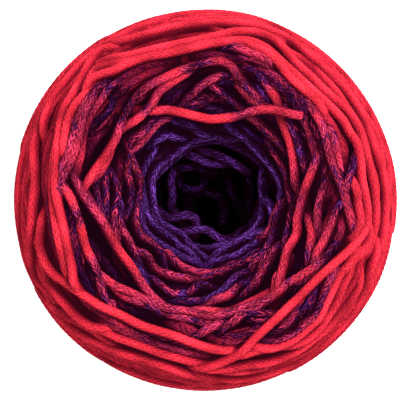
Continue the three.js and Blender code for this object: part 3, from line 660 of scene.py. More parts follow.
# Red ones of the outer crown
RED_CORDS = [
    [(-56.8, 16, 3), (-58.3, 8), (-58.8, 0), (-58.7, -6), (-58, -12), (-56.5, -19), (-53.5, -26),
     (-49.5, -33)],
    [(-58.8, 14, 3), (-56.8, 20), (-53.5, 27), (-49.5, 33.7), (-45, 39.7), (-40, 44.8), (-34.5, 49),
     (-28, 52.5)],
    [(-37, 45, 3), (-29, 50.8), (-20, 55), (-10, 58), (0, 59.3), (9, 58.8), (17, 57), (26, 53.2),
     (34, 48.3), (41, 42.6), (47, 36), (52, 28.5), (55.8, 20.5), (58.5, 12), (59.9, 4), (60, -4),
     (58.9, -12)],
    [(58.7, -8, 3), (57.5, -15), (55.5, -22), (52.5, -29), (48.5, -35.5), (43.5, -41.5), (38, -46.5),
     (32, -50.5), (25, -54.5)],
    [(-55, -26, 3), (-50, -34.5), (-44.6, -40), (-40.4, -44), (-36, -47.5), (-30, -51), (-22, -54.5),
     (-14, -57), (-5, -58.8)],
    [(-52.3, 22, 3), (-49.8, 29), (-46.5, 34.8), (-42.5, 39.8), (-38.5, 43.8), (-34, 47), (-28.5, 49.5)],
    [(-45.5, 15, 3), (-44.8, 20), (-43.5, 26), (-41, 31.3), (-38, 36.2), (-35, 40), (-31, 43)],
    [(-47, 36, 3), (-50, 30), (-52.6, 24), (-54.2, 18), (-54.8, 10), (-54.9, 2), (-55.1, -5),
     (-55.4, -12), (-55.2, -18), (-53.6, -24), (-51, -29)],
    [(-34.5, 48, 3), (-28, 50), (-21, 52.2), (-12, 54.8), (-3, 56.2), (6, 56.6), (14, 55.9), (21, 54),
     (27.8, 50.5), (34.5, 45), (40, 40.2), (45, 35.2), (48.6, 30.3), (51.3, 25), (53.3, 19.5), (55.4, 13),
     (57, 7), (57.6, 1), (57.4, -5), (56.5, -12), (54.5, -19)],
    [(-34, 44.5, 3), (-29, 46.2), (-23.5, 47.8), (-17, 49.6), (-10.5, 51.2), (-4, 52.4), (3, 53.5),
     (10, 53.9), (16, 53.6), (21.5, 51.7), (26.5, 47.6), (30.6, 44.2), (35.2, 40), (39, 36.2), (43, 32.3),
     (47, 28), (49.8, 23), (51.8, 17), (53.6, 11), (54.8, 5), (55.2, -1), (54.9, -8), (53.4, -15)],
    [(47.8, 6, 3), (49, 1.5, 2.9), (49.7, -3), (49.5, -7.5), (48, -12)],
    [(-46.5, 27, 3), (-48.1, 21), (-49.2, 14), (-49.6, 7), (-49.3, 0), (-48.9, -5), (-48.2, -10),
     (-47.2, -15), (-46.2, -20), (-45.3, -24.5)],
    [(-39.5, 37.5, 3), (-36, 41.8), (-31.5, 43.4), (-26.5, 44.7), (-21, 46), (-15.5, 47), (-10, 48.3),
     (-4.5, 50), (1.5, 51.5), (8, 52.3), (14.5, 52), (19.5, 50), (23.6, 46.9), (27.6, 43.4), (31, 40.2),
     (34.7, 36.8), (38.7, 33.2), (42.4, 29.5), (45.6, 26), (47.8, 21.8), (49.2, 16.5), (50.2, 11),
     (51.8, 5.5), (52.8, 0), (53.3, -5), (53, -11), (51.6, -17)],
    [(-38.5, 36, 3), (-35.5, 39), (-31, 41), (-27, 42.6), (-23, 44.3), (-19, 45.6), (-14, 46.6),
     (-9, 47.6), (-3.5, 48.9), (2.5, 50.2), (8.5, 51), (14, 50.6), (18.5, 48.4), (22.5, 45.2), (26, 41.8),
     (29.3, 38.6), (32.5, 35.7), (35.8, 32.5), (38.5, 29.5)],
    [(55.5, -14, 3), (53.5, -20), (51.5, -26.5), (48.5, -33), (44.5, -38.5), (40, -43.2), (35.5, -47.2),
     (30, -50.7), (24, -53.6), (17, -55.7), (9.8, -56.9), (3, -56.4), (-3, -55.2)],
    [(-50.5, -31.5, 3), (-48.5, -33.6), (-44.6, -35.8), (-41, -38.1), (-37.3, -40.4), (-33.4, -42.4),
     (-29.2, -44.4), (-25, -45.9), (-19.4, -47.9), (-13.8, -50), (-8, -51.6), (-2, -53.2), (4, -54.2),
     (10, -54.5), (16, -53.9), (22, -52)],
    [(-49.5, -34, 3), (-45, -38.2), (-40, -42), (-34, -45.4), (-26, -48.8), (-18, -51.6), (-10, -54),
     (-3, -55.8), (4, -57)],
    [(-52.5, -18, 3), (-50.8, -22), (-49.3, -26.6), (-47, -30.3), (-44.3, -33.4), (-42, -36),
     (-39.3, -38.3), (-36.5, -40), (-33, -41.6)],
    [(-53.6, -7, 3), (-53.1, -13), (-51.5, -18.5), (-48.8, -23), (-45.2, -26.8), (-41.2, -29.8),
     (-37.5, -32.2), (-33, -34.4), (-29, -36.1), (-25, -38), (-20.5, -40.3), (-15.4, -41.9),
     (-9.8, -43.6), (-4.2, -45.8), (1.4, -47.7), (7, -48.8), (10.7, -48.8)],
    [(-31, 50, 3), (-34.5, 46), (-38, 41.7), (-41.3, 36.7), (-44, 31.5), (-45.8, 26), (-46.9, 20),
     (-47.7, 13), (-47.9, 7), (-47.4, 1), (-46.5, -4), (-45.5, -9.5), (-44.5, -14.8), (-43.3, -20.3),
     (-42.2, -25), (-41.2, -29)],
    [(50.8, -24, 3), (48.8, -29), (46, -33), (43.3, -36.2), (39.8, -40.3), (36, -43.8), (32, -46.6),
     (27, -49.3), (21, -51.6), (15.4, -52.6), (9.8, -53.3), (4, -53.8), (-2, -53.6)],
    [(53.2, -9, 3), (52.3, -12.5), (50.3, -15.8), (48.4, -19.5), (46.9, -24.5), (45.2, -28.4),
     (43.2, -32.2), (41.2, -35.6), (38.3, -39.3), (35, -42.7), (31, -45.4), (26, -47.2), (20, -48.7),
     (14, -49.7), (9, -50.5)],
    [(49.3, -15.5, 3), (47, -19), (44.8, -23), (42.9, -27), (41, -30.8), (39, -34.4), (36.5, -37.9),
     (33.5, -40.7), (30.5, -43.2), (27.5, -45.2), (23, -46.9), (18, -48)],
    [(52.5, -5.5, 3), (51.6, -8.3), (49.8, -11.6), (47.3, -14.9), (44.6, -17.8), (41.8, -20.3),
     (39, -22.8), (36.2, -25.3), (33.4, -28), (30.6, -30.8), (27.8, -33.5), (25, -36.2), (22.2, -38.9),
     (19.4, -41.5), (16.6, -44.2), (13.8, -46.8), (10.6, -49.3), (6.5, -51.2), (2, -52.8), (-3, -53.9)],
]

# Loose cords in and around the hole, as routes of their own
HOLE_CORDS = {
    # name: tone, dimness (painted shade), then the places x, y, z
    "inner top": (0.85, 0.2, [
        (-6.5, 15.5, 59), (-2.3, 13.8, 60.5), (1.1, 12.2, 60.5), (4, 11.9, 60), (8, 12.2, 58),
    ]),
    "inner top right": (0.95, 0.2, [
        (-0.5, 16.2, 61), (3.4, 15.1, 62.5), (6.7, 13.8, 62.5), (9.3, 12.4, 61.5), (13, 10, 59),
    ]),
    "inner left": (0.75, 0.3, [
        (-10.2, 9.8, 57), (-11.1, 6.1, 58.5), (-10.5, 2, 58.5), (-11, -1.6, 58.5), (-9.7, -4.2, 58),
        (-7.5, -7.5, 56.5),
    ]),
    "deep top": (0.6, 0.4, [
        (-9.5, 8.8, 54), (-7.5, 10.6, 55.5), (-4.8, 11, 56), (-2.2, 11, 55.5), (1.2, 9.5, 54),
    ]),
    "deep loop": (0.5, 0.45, [
        (-8.5, 7.5, 46), (-7.1, 4.4, 48), (-4.2, 3.3, 48.5), (-1, 4.4, 48.5), (0.1, 7.7, 48),
        (0.6, 10.5, 46),
    ]),
    "deepest loop": (0.45, 0.5, [
        (-4, -6, 42), (-5.4, -2.1, 43.5), (-4.8, 0.7, 44), (-2.2, 2.5, 44), (2.6, 2.4, 44),
        (5.6, 0.1, 44), (6.7, -3.5, 43.5), (6, -7, 42),
    ]),
    "deep right": (0.35, 0.6, [
        (7, 9, 50), (8.2, 5, 51.5), (9.5, 1, 52), (12, -2.5, 52), (13.5, -6, 51),
    ]),
    "deep right wall": (0.35, 0.55, [
        (14, 8, 56), (14.8, 3.5, 57.5), (14.5, -1.5, 58), (14.8, -5, 57.5), (12.5, -9.5, 56),
    ]),
    "little loop": (1, 0.05, [
        (-15, -3.5, 61), (-12.4, -5.7, 63), (-9.7, -5.8, 64), (-6.4, -4.9, 64.2), (-3.5, -5.7, 63),
        (-2.6, -8.1, 61), (-3.2, -11, 58.5),
    ]),
    "bottom middle": (1, 0.05, [
        (-7.5, -10.5, 60), (-3.1, -9.8, 61.5), (0.7, -9.8, 62), (4, -12, 62.5), (6.7, -13, 62.5),
        (9.3, -12.4, 62.5), (12.5, -10.2, 61),
    ]),
    "ring lower right": (0.8, 0.5, [
        (18.2, -1.5, 61), (16.9, -5.7, 63), (15.7, -7.5, 63.3), (14.2, -9.8, 63), (10.5, -12.5, 61),
    ]),
}

# More cords under those of the crown, as rings of arcs from the middle outward: how many arcs a ring
# has, and their tone
UNDER_RINGS = [
    # nearest, count, tone
    (13.5, 5, 0.5), (16.0, 5, 0.8), (18.5, 5, 1.0), (21.0, 6, 1.2), (23.5, 6, 1.4), (26.0, 6, 1.6),
    (28.5, 7, 1.6), (31.0, 7, 1.8), (33.5, 7, 1.9), (36.0, 8, 2.0), (38.5, 8, 2.1), (41.0, 8, 2.3),
    (43.5, 9, 2.6), (46.0, 10, 2.8), (48.0, 10, 3.0), (50.0, 10, 3.0), (52.0, 10, 3.0), (54.0, 10, 3.0),
]
UNDER_OVERLAP = 1.3           # each arc is this many times as long as its share of the ring,
UNDER_LONGER = (2, 9)         # and longer at both ends by so many degrees
UNDER_TURNED = (-9, 9)        # how many degrees each is turned
UNDER_SHIFTED = (0.3, 1.2)    # how far its centre is shifted, as a share of its nearest
UNDER_MOVED = (-0.7, 0.7)     # how much farther it lies from the axis
UNDER_TONED = (-0.25, 0.25)   # how its tone differs
UNDER_PRESSED = (-0.4, 0.4)   # and how its top does

# Rows of red turns at the rim, under the ones of the table
RIM_RINGS = [
    # nearest, count
    (56.5, 5), (58.2, 6), (59.6, 6), (60.4, 5),
]
RIM_LONGER = (6, 16)          # they are longer at both ends by so many degrees
RIM_TURNED = (-8, 8)
RIM_SHIFTED = (-0.08, 0.12)
RIM_TOPS = (-3.2, -0.2)

# Whole turns around the outside, laid in passes
TURN_PASSES = 3
TURNS_A_PASS = 27
TURN_RADII = (55.0, 58.5)     # how near the axis they cross the crown
TURN_TURNED = (-2, 2)         # how many degrees each is turned
FOOT_INWARD = 8.0             # they cross the foot nearer the axis by this much
LAST_PASS_HEIGHT = 4.5        # the last pass lies at least this high over the bed
TURN_TOP = 0.4                # none lies higher than this over the ball's outside
TURN_CROWN_DROP = 2.9         # and on the crown they stay lower by this much

# Rings of cords under the ball
FOOT_RINGS = 13
FOOT_FIRST_RING = 4.0
FOOT_ARC = 6.0                # a ring has one arc for so much of its radius, and at least three
FOOT_SHIFTED = 0.2            # the arcs' centres are shifted by this share of it
FOOT_OVERLAP = 12             # they are longer at both ends by so many degrees
FOOT_DIVE = 8.0

# How high the other cords may lie, from the ball's outside, and how far they bridge the funnel
UNDER_TOP = -3.4
DEEP_TOP = -2.2
PURPLE_TOP = 0.2
RAISED_TOP = 0.0
RAISED_HEIGHT = 4.0           # the raised ones lie at least this high over the bed
MIXED_TOP = 1.0
CROSSING_TOP = 3.5
RED_TOP = 1.0
BRIDGE = 0.3

# How the hole's cords end: they go on this far along and this far down
HOLE_END_ALONG = 3.5
HOLE_END_DOWN = 5.0

# Tones of plain cords, and the bed's own tone by radius: black down the hole, purple around it, red at
# the crest and outside
RED_TONE = 3.0
HIDDEN_TONE = 2.8
BED_TONES = ((12, 16, 25, 36, 51), (0.1, 0.8, 1.4, 2.0, 2.8))

# Painted shade, from 0 to 1, beyond what the higher cords around a place give
BED_SHADE = 0.45
DEEP_SHADE = 0.18
TURN_SHADE = 0.25             # for the outer turns on the crown, and the most for a cord of the rim
HOLE_SHADE_SHARE = 0.6        # the hole's cords have painted shade of their own, their dimness, and take this share of it


# The layer under the crown's cords
def under_cords():
    draws = random.Random(7)
    cords = []
    for nearest, count, tone in UNDER_RINGS:
        first = draws.uniform(0, 360)
        for index in range(count):
            heading = first + 360 * index / count + draws.uniform(*UNDER_TURNED)
            half = math.degrees(2 * UNDER_OVERLAP * math.pi / count) * 0.5 + draws.uniform(*UNDER_LONGER)
            shift = nearest * draws.uniform(*UNDER_SHIFTED)
            course = arc_course(heading, nearest + draws.uniform(*UNDER_MOVED), shift, half)
            tones = [tone + draws.uniform(*UNDER_TONED)] * len(course)
            cords.append(lay(course, tones, top=UNDER_TOP + draws.uniform(*UNDER_PRESSED)))
    return cords


# Rows of red cords at the rim, which lie at different heights
def rim_cords():
    draws = random.Random(3)
    cords = []
    for nearest, count in RIM_RINGS:
        first = draws.uniform(0, 360)
        for index in range(count):
            heading = first + 360 * index / count + draws.uniform(*RIM_TURNED)
            half = 180 / count + draws.uniform(*RIM_LONGER)
            shift = nearest * draws.uniform(*RIM_SHIFTED)
            course = arc_course(heading, nearest, shift, half)
            cords.append(lay(course, [RED_TONE] * len(course), top=draws.uniform(*RIM_TOPS)))
    return cords


# Cords down the hole. Their tones fade out toward both ends, where they go down into the hole: painted
# shade.
def hole_cords():
    cords = []
    for tone, _, places in HOLE_CORDS.values():
        ends = []
        for end, inner in ((0, 1), (-1, -2)):
            away = (Vector(places[end]) - Vector(places[inner])).normalized() * HOLE_END_ALONG
            ends.append(Vector(places[end]) + away + Vector((0, 0, -HOLE_END_DOWN)))
        route = [Vector(place) for place in smooth_route([ends[0], *places, ends[1]])]
        laid_places.extend(route)
        last = len(route) - 1
        tones = [tone * smooth_step(5 * min(index, last - index) / last) for index in range(last + 1)]
        cords.append(free_cord(route, tones))
    return cords


# The outer turns, in passes. Those of the last pass stand highest.
def outer_turns():
    draws = random.Random(11)
    turns = []
    for turn_pass in range(TURN_PASSES):
        first = LAST_PASS_HEIGHT if turn_pass == TURN_PASSES - 1 else FIRST_HEIGHT
        for index in range(TURNS_A_PASS):
            heading = 360 * (index + turn_pass / TURN_PASSES) / TURNS_A_PASS
            heading += draws.uniform(*TURN_TURNED)
            near_crown = draws.uniform(*TURN_RADII)
            near_foot = draws.uniform(*TURN_RADII) - FOOT_INWARD
            course = whole_turn(heading, near_crown, near_foot)
            turns.append(lay(course, [RED_TONE] * len(course), top=TURN_TOP, first=first, closed=True,
                             crown_drop=TURN_CROWN_DROP))
    return turns


# Cords under the foot, in rings of arcs that overlap at their ends
def foot_cords():
    draws = random.Random(5)
    cords = []
    for ring in range(FOOT_RINGS):
        nearest = FOOT_FIRST_RING + CORD * ring
        count = max(3, round(nearest / FOOT_ARC))
        first = draws.uniform(0, 360)
        for index in range(count):
            course = arc_course(first + 360 * index / count, nearest, nearest * FOOT_SHIFTED,
                                180 / count + FOOT_OVERLAP, station_of=station_of_foot, wobble=0.0)
            cords.append(lay(course, [RED_TONE] * len(course), dive=FOOT_DIVE))
    return cords


# Sets an input of a node to a value, or links it from another node's output
def feed(tree, socket, value):
    if isinstance(value, bpy.types.NodeSocket):
        tree.links.new(value, socket)
    else:
        socket.default_value = value


# Adds a node. Its settings go by name, its inputs by name or number.
def add_node(tree, kind, inputs=(), **settings):
    node = tree.nodes.new(kind)
    for name, value in settings.items():
        setattr(node, name, value)
    for label, value in dict(inputs).items():
        feed(tree, node.inputs[label], value)
    return node


# Gives a function that adds one maths node a call and returns its output
def calculator(tree):
    def calculate(operation, *values, clamp=False):
        node = add_node(tree, "ShaderNodeMath", enumerate(values), operation=operation, use_clamp=clamp)
        return node.outputs[0]
    return calculate


# Shorthands for nodes that come up often: they return the node's outputs, or its one output
def noise(tree, dimensions, place, detail=0.0, **more):
    inputs = {"Vector": place, "Scale": 1.0, "Detail": detail, **more}
    return add_node(tree, "ShaderNodeTexNoise", inputs, noise_dimensions=dimensions).outputs


def vector(tree, x, y, z=0.0):
    return add_node(tree, "ShaderNodeCombineXYZ", {0: x, 1: y, 2: z}).outputs[0]


def scaled(tree, values, scale):
    inputs = {0: values, "Scale": scale}
    return add_node(tree, "ShaderNodeVectorMath", inputs, operation="SCALE").outputs[0]


def mixed(tree, share, first, second, blend="MIX"):
    inputs = {"Factor": share, "A": first, "B": second}
    return add_node(tree, "ShaderNodeMix", inputs, data_type="RGBA", blend_type=blend).outputs["Result"]


# Gives a group its sockets, and returns those inside it: what it is given, and its result
def group_sockets(tree, inputs, outputs):
    for label, kind, value in inputs:
        socket = tree.interface.new_socket(label, in_out="INPUT", socket_type="NodeSocket" + kind)
        if value is not None:
            socket.default_value = value
    for label, kind in outputs:
        tree.interface.new_socket(label, in_out="OUTPUT", socket_type="NodeSocket" + kind)
    return tree.nodes.new("NodeGroupInput").outputs, tree.nodes.new("NodeGroupOutput").inputs


# Gives how plain red a tone is, 0 to 1, and a function for values between one for mixed cords and one
# for plain red cords
def by_tone(calc, tone):
    plain = calc("SUBTRACT", tone, 2.0, clamp=True)

    def between(in_mixed, in_red):
        return calc("MULTIPLY_ADD", plain, in_red - in_mixed, in_mixed)
    return plain, between


# The node tree that knits a cord along each line of a piece: named sizes, rounded section, stitches
def knitted_cord_tree():
    tree = bpy.data.node_groups.new("knitted cord", "GeometryNodeTree")
    given, result = group_sockets(tree, [
        ("Lines", "Geometry", None),
        ("Half Width", "Float", HALF_CORD * MM),
        ("Ring Spacing", "Float", 0.001),
        ("Stitch Length", "Float", STITCH * MM),
        ("Stitch Relief", "Float", STITCH_RELIEF * MM),
        ("Sides", "Int", 10),
        ("Wales", "Int", WALES),
        ("Finish", "Material", None),
    ], [("Cords", "Geometry")])
    calc = calculator(tree)

    def read(label, kind):
        node = add_node(tree, "GeometryNodeInputNamedAttribute", {"Name": label}, data_type=kind)
        return node.outputs["Attribute"]

    def store(geometry, label, kind, value):
        inputs = {"Geometry": geometry, "Name": label, "Value": value}
        node = add_node(tree, "GeometryNodeStoreNamedAttribute", inputs, data_type=kind, domain="POINT")
        return node.outputs["Geometry"]

    curves = add_node(tree, "GeometryNodeMeshToCurve", {"Mesh": given["Lines"]}).outputs["Curve"]
    spaced = add_node(tree, "GeometryNodeResampleCurve", {"Curve": curves, "Length": given["Ring Spacing"]},
                      mode="LENGTH").outputs["Curve"]
    length = add_node(tree, "GeometryNodeSplineParameter").outputs["Length"]
    line = store(spaced, "along", "FLOAT", calc("MULTIPLY", length, 1 / MM))
    circle = add_node(tree, "GeometryNodeCurvePrimitiveCircle",
                      {"Resolution": given["Sides"], "Radius": given["Half Width"]}).outputs["Curve"]
    place = add_node(tree, "GeometryNodeInputPosition").outputs["Position"]
    section = store(circle, "ring", "FLOAT_VECTOR", place)
    tube = add_node(tree, "GeometryNodeCurveToMesh",
                    {"Curve": line, "Profile Curve": section, "Fill Caps": True}).outputs["Mesh"]

    # Stitches: V-shaped loops in columns around the cord
    ring = add_node(tree, "ShaderNodeSeparateXYZ", {0: read("ring", "FLOAT_VECTOR")}).outputs
    turn = calc("ARCTAN2", ring[1], ring[0])
    column = calc("DIVIDE", calc("MULTIPLY", turn, given["Wales"]), 2 * math.pi)
    aside = calc("PINGPONG", column, 0.5)
    rows = calc("DIVIDE", calc("MULTIPLY", read("along", "FLOAT"), MM), given["Stitch Length"])
    slanted = calc("ADD", rows, calc("MULTIPLY", aside, STITCH_SLANT))
    wave = calc("COSINE", calc("MULTIPLY", slanted, 2 * math.pi))
    groove = calc("COSINE", calc("MULTIPLY", aside, 4 * math.pi))
    relief = calc("SUBTRACT", calc("MULTIPLY", wave, ROW_RELIEF), calc("MULTIPLY", groove, GROOVE_RELIEF))
    outward = add_node(tree, "GeometryNodeInputNormal").outputs[0]
    push = scaled(tree, outward, calc("MULTIPLY", relief, given["Stitch Relief"]))
    stitched = add_node(tree, "GeometryNodeSetPosition", {"Geometry": tube, "Offset": push})

    # How far each place of the surface faces away from the ball, which the finish uses for painted shade on
    # the flanks
    upward = add_node(tree, "ShaderNodeVectorMath", {0: read("facing", "FLOAT_VECTOR"), 1: outward},
                      operation="DOT_PRODUCT").outputs["Value"]
    shaped = store(stitched.outputs["Geometry"], "up", "FLOAT", upward)
    smooth = add_node(tree, "GeometryNodeSetShadeSmooth", {"Geometry": shaped}).outputs["Geometry"]
    finished = add_node(tree, "GeometryNodeSetMaterial", {"Geometry": smooth, "Material": given["Finish"]})
    tree.links.new(finished.outputs["Geometry"], result["Cords"])
    return tree


KNITTED_CORD = knitted_cord_tree()


# Stores lists of numbers on a mesh, one for each of its points
def store_numbers(mesh, lists, vectors):
    for label, numbers in lists.items():
        mesh.attributes.new(label, "FLOAT", "POINT").data.foreach_set("value", numbers)
    for label, numbers in vectors.items():
        mesh.attributes.new(label, "FLOAT_VECTOR", "POINT").data.foreach_set("vector", numbers)


# Lines of a piece as loose edges, with tones, shades and facings, and for each line a number of its own
def line_mesh(name, cords):
    points, edges, facings = [], [], []
    lists = {"tone": [], "start": [], "shade": []}
    draws = random.Random(name)
    for cord in cords:
        first = len(points)
        count = len(cord.middles)
        points.extend(middle * MM for middle in cord.middles)
        edges.extend((first + index, first + index + 1) for index in range(count - 1))
        if cord.closed:
            edges.append((first + count - 1, first))
        lists["tone"].extend(cord.tones)
        lists["start"].extend([draws.uniform(0, 100)] * count)
        lists["shade"].extend(cord.shades)
        for facing in cord.facings:
            facings.extend(facing)
    mesh = bpy.data.meshes.new(name + " lines")
    mesh.from_pydata(points, edges, [])
    store_numbers(mesh, lists, {"facing": facings})
    return mesh


def new_object(name, data):
    made = bpy.data.objects.new(name, data)
    bpy.context.collection.objects.link(made)
    return made


# Makes one piece of some cords: their lines, knitted. Sizes that aren't set here are the tree's own.
def knit(name, cords, sides, spacing):
    holder = new_object(name + " holder", line_mesh(name, cords))
    modifier = holder.modifiers.new("knitted cord", "NODES")
    modifier.node_group = KNITTED_CORD
    values = {"Ring Spacing": spacing * MM, "Sides": sides, "Finish": CORD_FINISH}
    for item in KNITTED_CORD.interface.items_tree:
        if item.item_type == "SOCKET" and item.in_out == "INPUT" and item.name in values:
            modifier[item.identifier] = values[item.name]
    bpy.context.view_layer.update()
    evaluated = holder.evaluated_get(bpy.context.evaluated_depsgraph_get())
    mesh = bpy.data.meshes.new_from_object(evaluated)
    mesh.name = name
    bpy.data.objects.remove(holder)
    piece = new_object(name, mesh)
    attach(piece, "root")
    return piece


# Knit stitches: V-shaped loops of a few threads in columns around the cord. Along is in millimetres,
# Turn in radians around the cord.
def stitch_group():
    tree = bpy.data.node_groups.new("knit stitches", "ShaderNodeTree")
    given, result = group_sockets(tree, [
        ("Along", "Float", 0.0),
        ("Turn", "Float", 0.0),
        ("Stitch Length", "Float", STITCH),
        ("Wales", "Float", float(WALES)),
        ("Slant", "Float", 2.2),
        ("Threads", "Float", 2.0),
    ], [("Height", "Float"), ("Gap", "Float"), ("Thread Cell", "Vector")])
    calc = calculator(tree)

    # A hump between 0 and 1, and 0 at both
    def hump(value):
        centred = calc("MULTIPLY_ADD", value, 2.0, -1.0)
        return calc("SUBTRACT", 1.0, calc("MULTIPLY", centred, centred))

    column = calc("MULTIPLY", given["Turn"], calc("DIVIDE", given["Wales"], 2 * math.pi))
    aside = calc("PINGPONG", column, 0.5)
    side = calc("FLOOR", calc("MULTIPLY", column, 2.0))
    rows = calc("ADD", calc("DIVIDE", given["Along"], given["Stitch Length"]),
                calc("MULTIPLY", aside, given["Slant"]))
    across = calc("FRACT", rows)
    leg = hump(across)
    strands = calc("MULTIPLY", across, given["Threads"])
    strand = hump(calc("FRACT", strands))
    from_edge = calc("MULTIPLY", calc("MINIMUM", aside, calc("SUBTRACT", 0.5, aside)), 4.0)
    edge = calc("SMOOTH_MIN", calc("MULTIPLY", from_edge, 2.2), 1.0, 0.4)
    height = calc("MULTIPLY", calc("MULTIPLY_ADD", strand, 0.22, calc("MULTIPLY", leg, 0.78)),
                  calc("MULTIPLY_ADD", edge, 0.6, 0.4))
    # How much of each place is left out of the painted shade in the gaps between legs, columns and threads
    shown = calc("MULTIPLY", calc("MULTIPLY", leg, calc("MULTIPLY_ADD", edge, 0.4, 0.6)),
                 calc("MULTIPLY_ADD", strand, 0.5, 0.5))
    cell = vector(tree, calc("FLOOR", rows), side, calc("FLOOR", strands))
    tree.links.new(height, result["Height"])
    tree.links.new(calc("SUBTRACT", 1.0, shown, clamp=True), result["Gap"])
    tree.links.new(cell, result["Thread Cell"])
    return tree


# Thread colours: black, purple and red threads that change places along the cord. Tone is the
# cord's own shade there: 0 black, 1 purple, 2 purple and red mixed, 3 red.
def thread_colour_group():
    tree = bpy.data.node_groups.new("thread colours", "ShaderNodeTree")
    given, result = group_sockets(tree, [
        ("Tone", "Float", 3.0),
        ("Along", "Float", 0.0),
        ("Turn", "Float", 0.0),
        ("Start", "Float", 0.0),
        ("Thread Cell", "Vector", None),
        ("Red", "Color", (0.96, 0.040, 0.063, 1)),
        ("Pink", "Color", (0.66, 0.050, 0.115, 1)),
        ("Purple", "Color", (0.20, 0.070, 0.42, 1)),
        ("Plum", "Color", (0.115, 0.020, 0.140, 1)),
        ("Black", "Color", (0.012, 0.005, 0.016, 1)),
    ], [("Colour", "Color")])
    tone, along, turn, start = (given[label] for label in ("Tone", "Along", "Turn", "Start"))
    calc = calculator(tree)

    # Patches a few millimetres long, drawn out along the cord
    spot = vector(tree, calc("DIVIDE", along, PATCH_LENGTH), calc("MULTIPLY", calc("SINE", turn), 0.7),
                  calc("MULTIPLY", calc("COSINE", turn), 0.7))
    patches = noise(tree, "4D", spot, detail=1.0, W=start)
    patch = calc("MULTIPLY_ADD", calc("SUBTRACT", patches["Fac"], 0.5), PATCH_CONTRAST, 0.5)
    single = add_node(tree, "ShaderNodeTexWhiteNoise", noise_dimensions="4D")
    tree.links.new(given["Thread Cell"], single.inputs["Vector"])
    tree.links.new(start, single.inputs["W"])
    draw = calc("MULTIPLY_ADD", single.outputs["Value"], OWN_SHARE, calc("MULTIPLY", patch, PATCH_SHARE))

    # Whether a thread is one of a share, with a slightly soft border between the threads
    def drawn(share, sharpness):
        over = calc("SUBTRACT", calc("MULTIPLY_ADD", share, 1.1, -0.02), draw)
        return calc("ADD", calc("MULTIPLY", over, sharpness), 0.5, clamp=True)

    red_mask = drawn(calc("DIVIDE", calc("SUBTRACT", tone, 1.0), 2.0, clamp=True), RED_SHARPNESS)
    dark_mask = drawn(calc("SUBTRACT", 1.0, tone, clamp=True), DARK_SHARPNESS)

    # Purple threads turn to plum where the tone rises from 1.05, and red ones to pink where it falls
    # from 2.95
    mixing = calc("DIVIDE", calc("SUBTRACT", tone, 1.05), 0.5, clamp=True)
    pinkness = calc("DIVIDE", calc("SUBTRACT", 2.95, tone), 0.55, clamp=True)
    purple_thread = mixed(tree, mixing, given["Purple"], given["Plum"])
    with_dark = mixed(tree, dark_mask, purple_thread, given["Black"])
    with_red = mixed(tree, red_mask, with_dark, mixed(tree, pinkness, given["Red"], given["Pink"]))

    # Threads differ at random in lightness, the mixed and purple ones most: partly their own colour, partly
    # painted highlights
    own_draw = add_node(tree, "ShaderNodeSeparateColor", {0: single.outputs["Color"]}).outputs[1]
    _, between = by_tone(calc, tone)
    caught = calc("POWER", own_draw, between(2.0, 1.0))
    own = calc("MULTIPLY_ADD", caught, between(1.8, 0.45), between(0.15, 0.75))
    stretches = noise(tree, "2D", vector(tree, calc("DIVIDE", along, STRETCH_LENGTH), start))
    lightness = calc("MULTIPLY", own, calc("MULTIPLY_ADD", stretches["Fac"], 1.3, 0.4))
    tree.links.new(scaled(tree, with_red, lightness), result["Colour"])
    return tree


STITCHES = stitch_group()
THREAD_COLOURS = thread_colour_group()


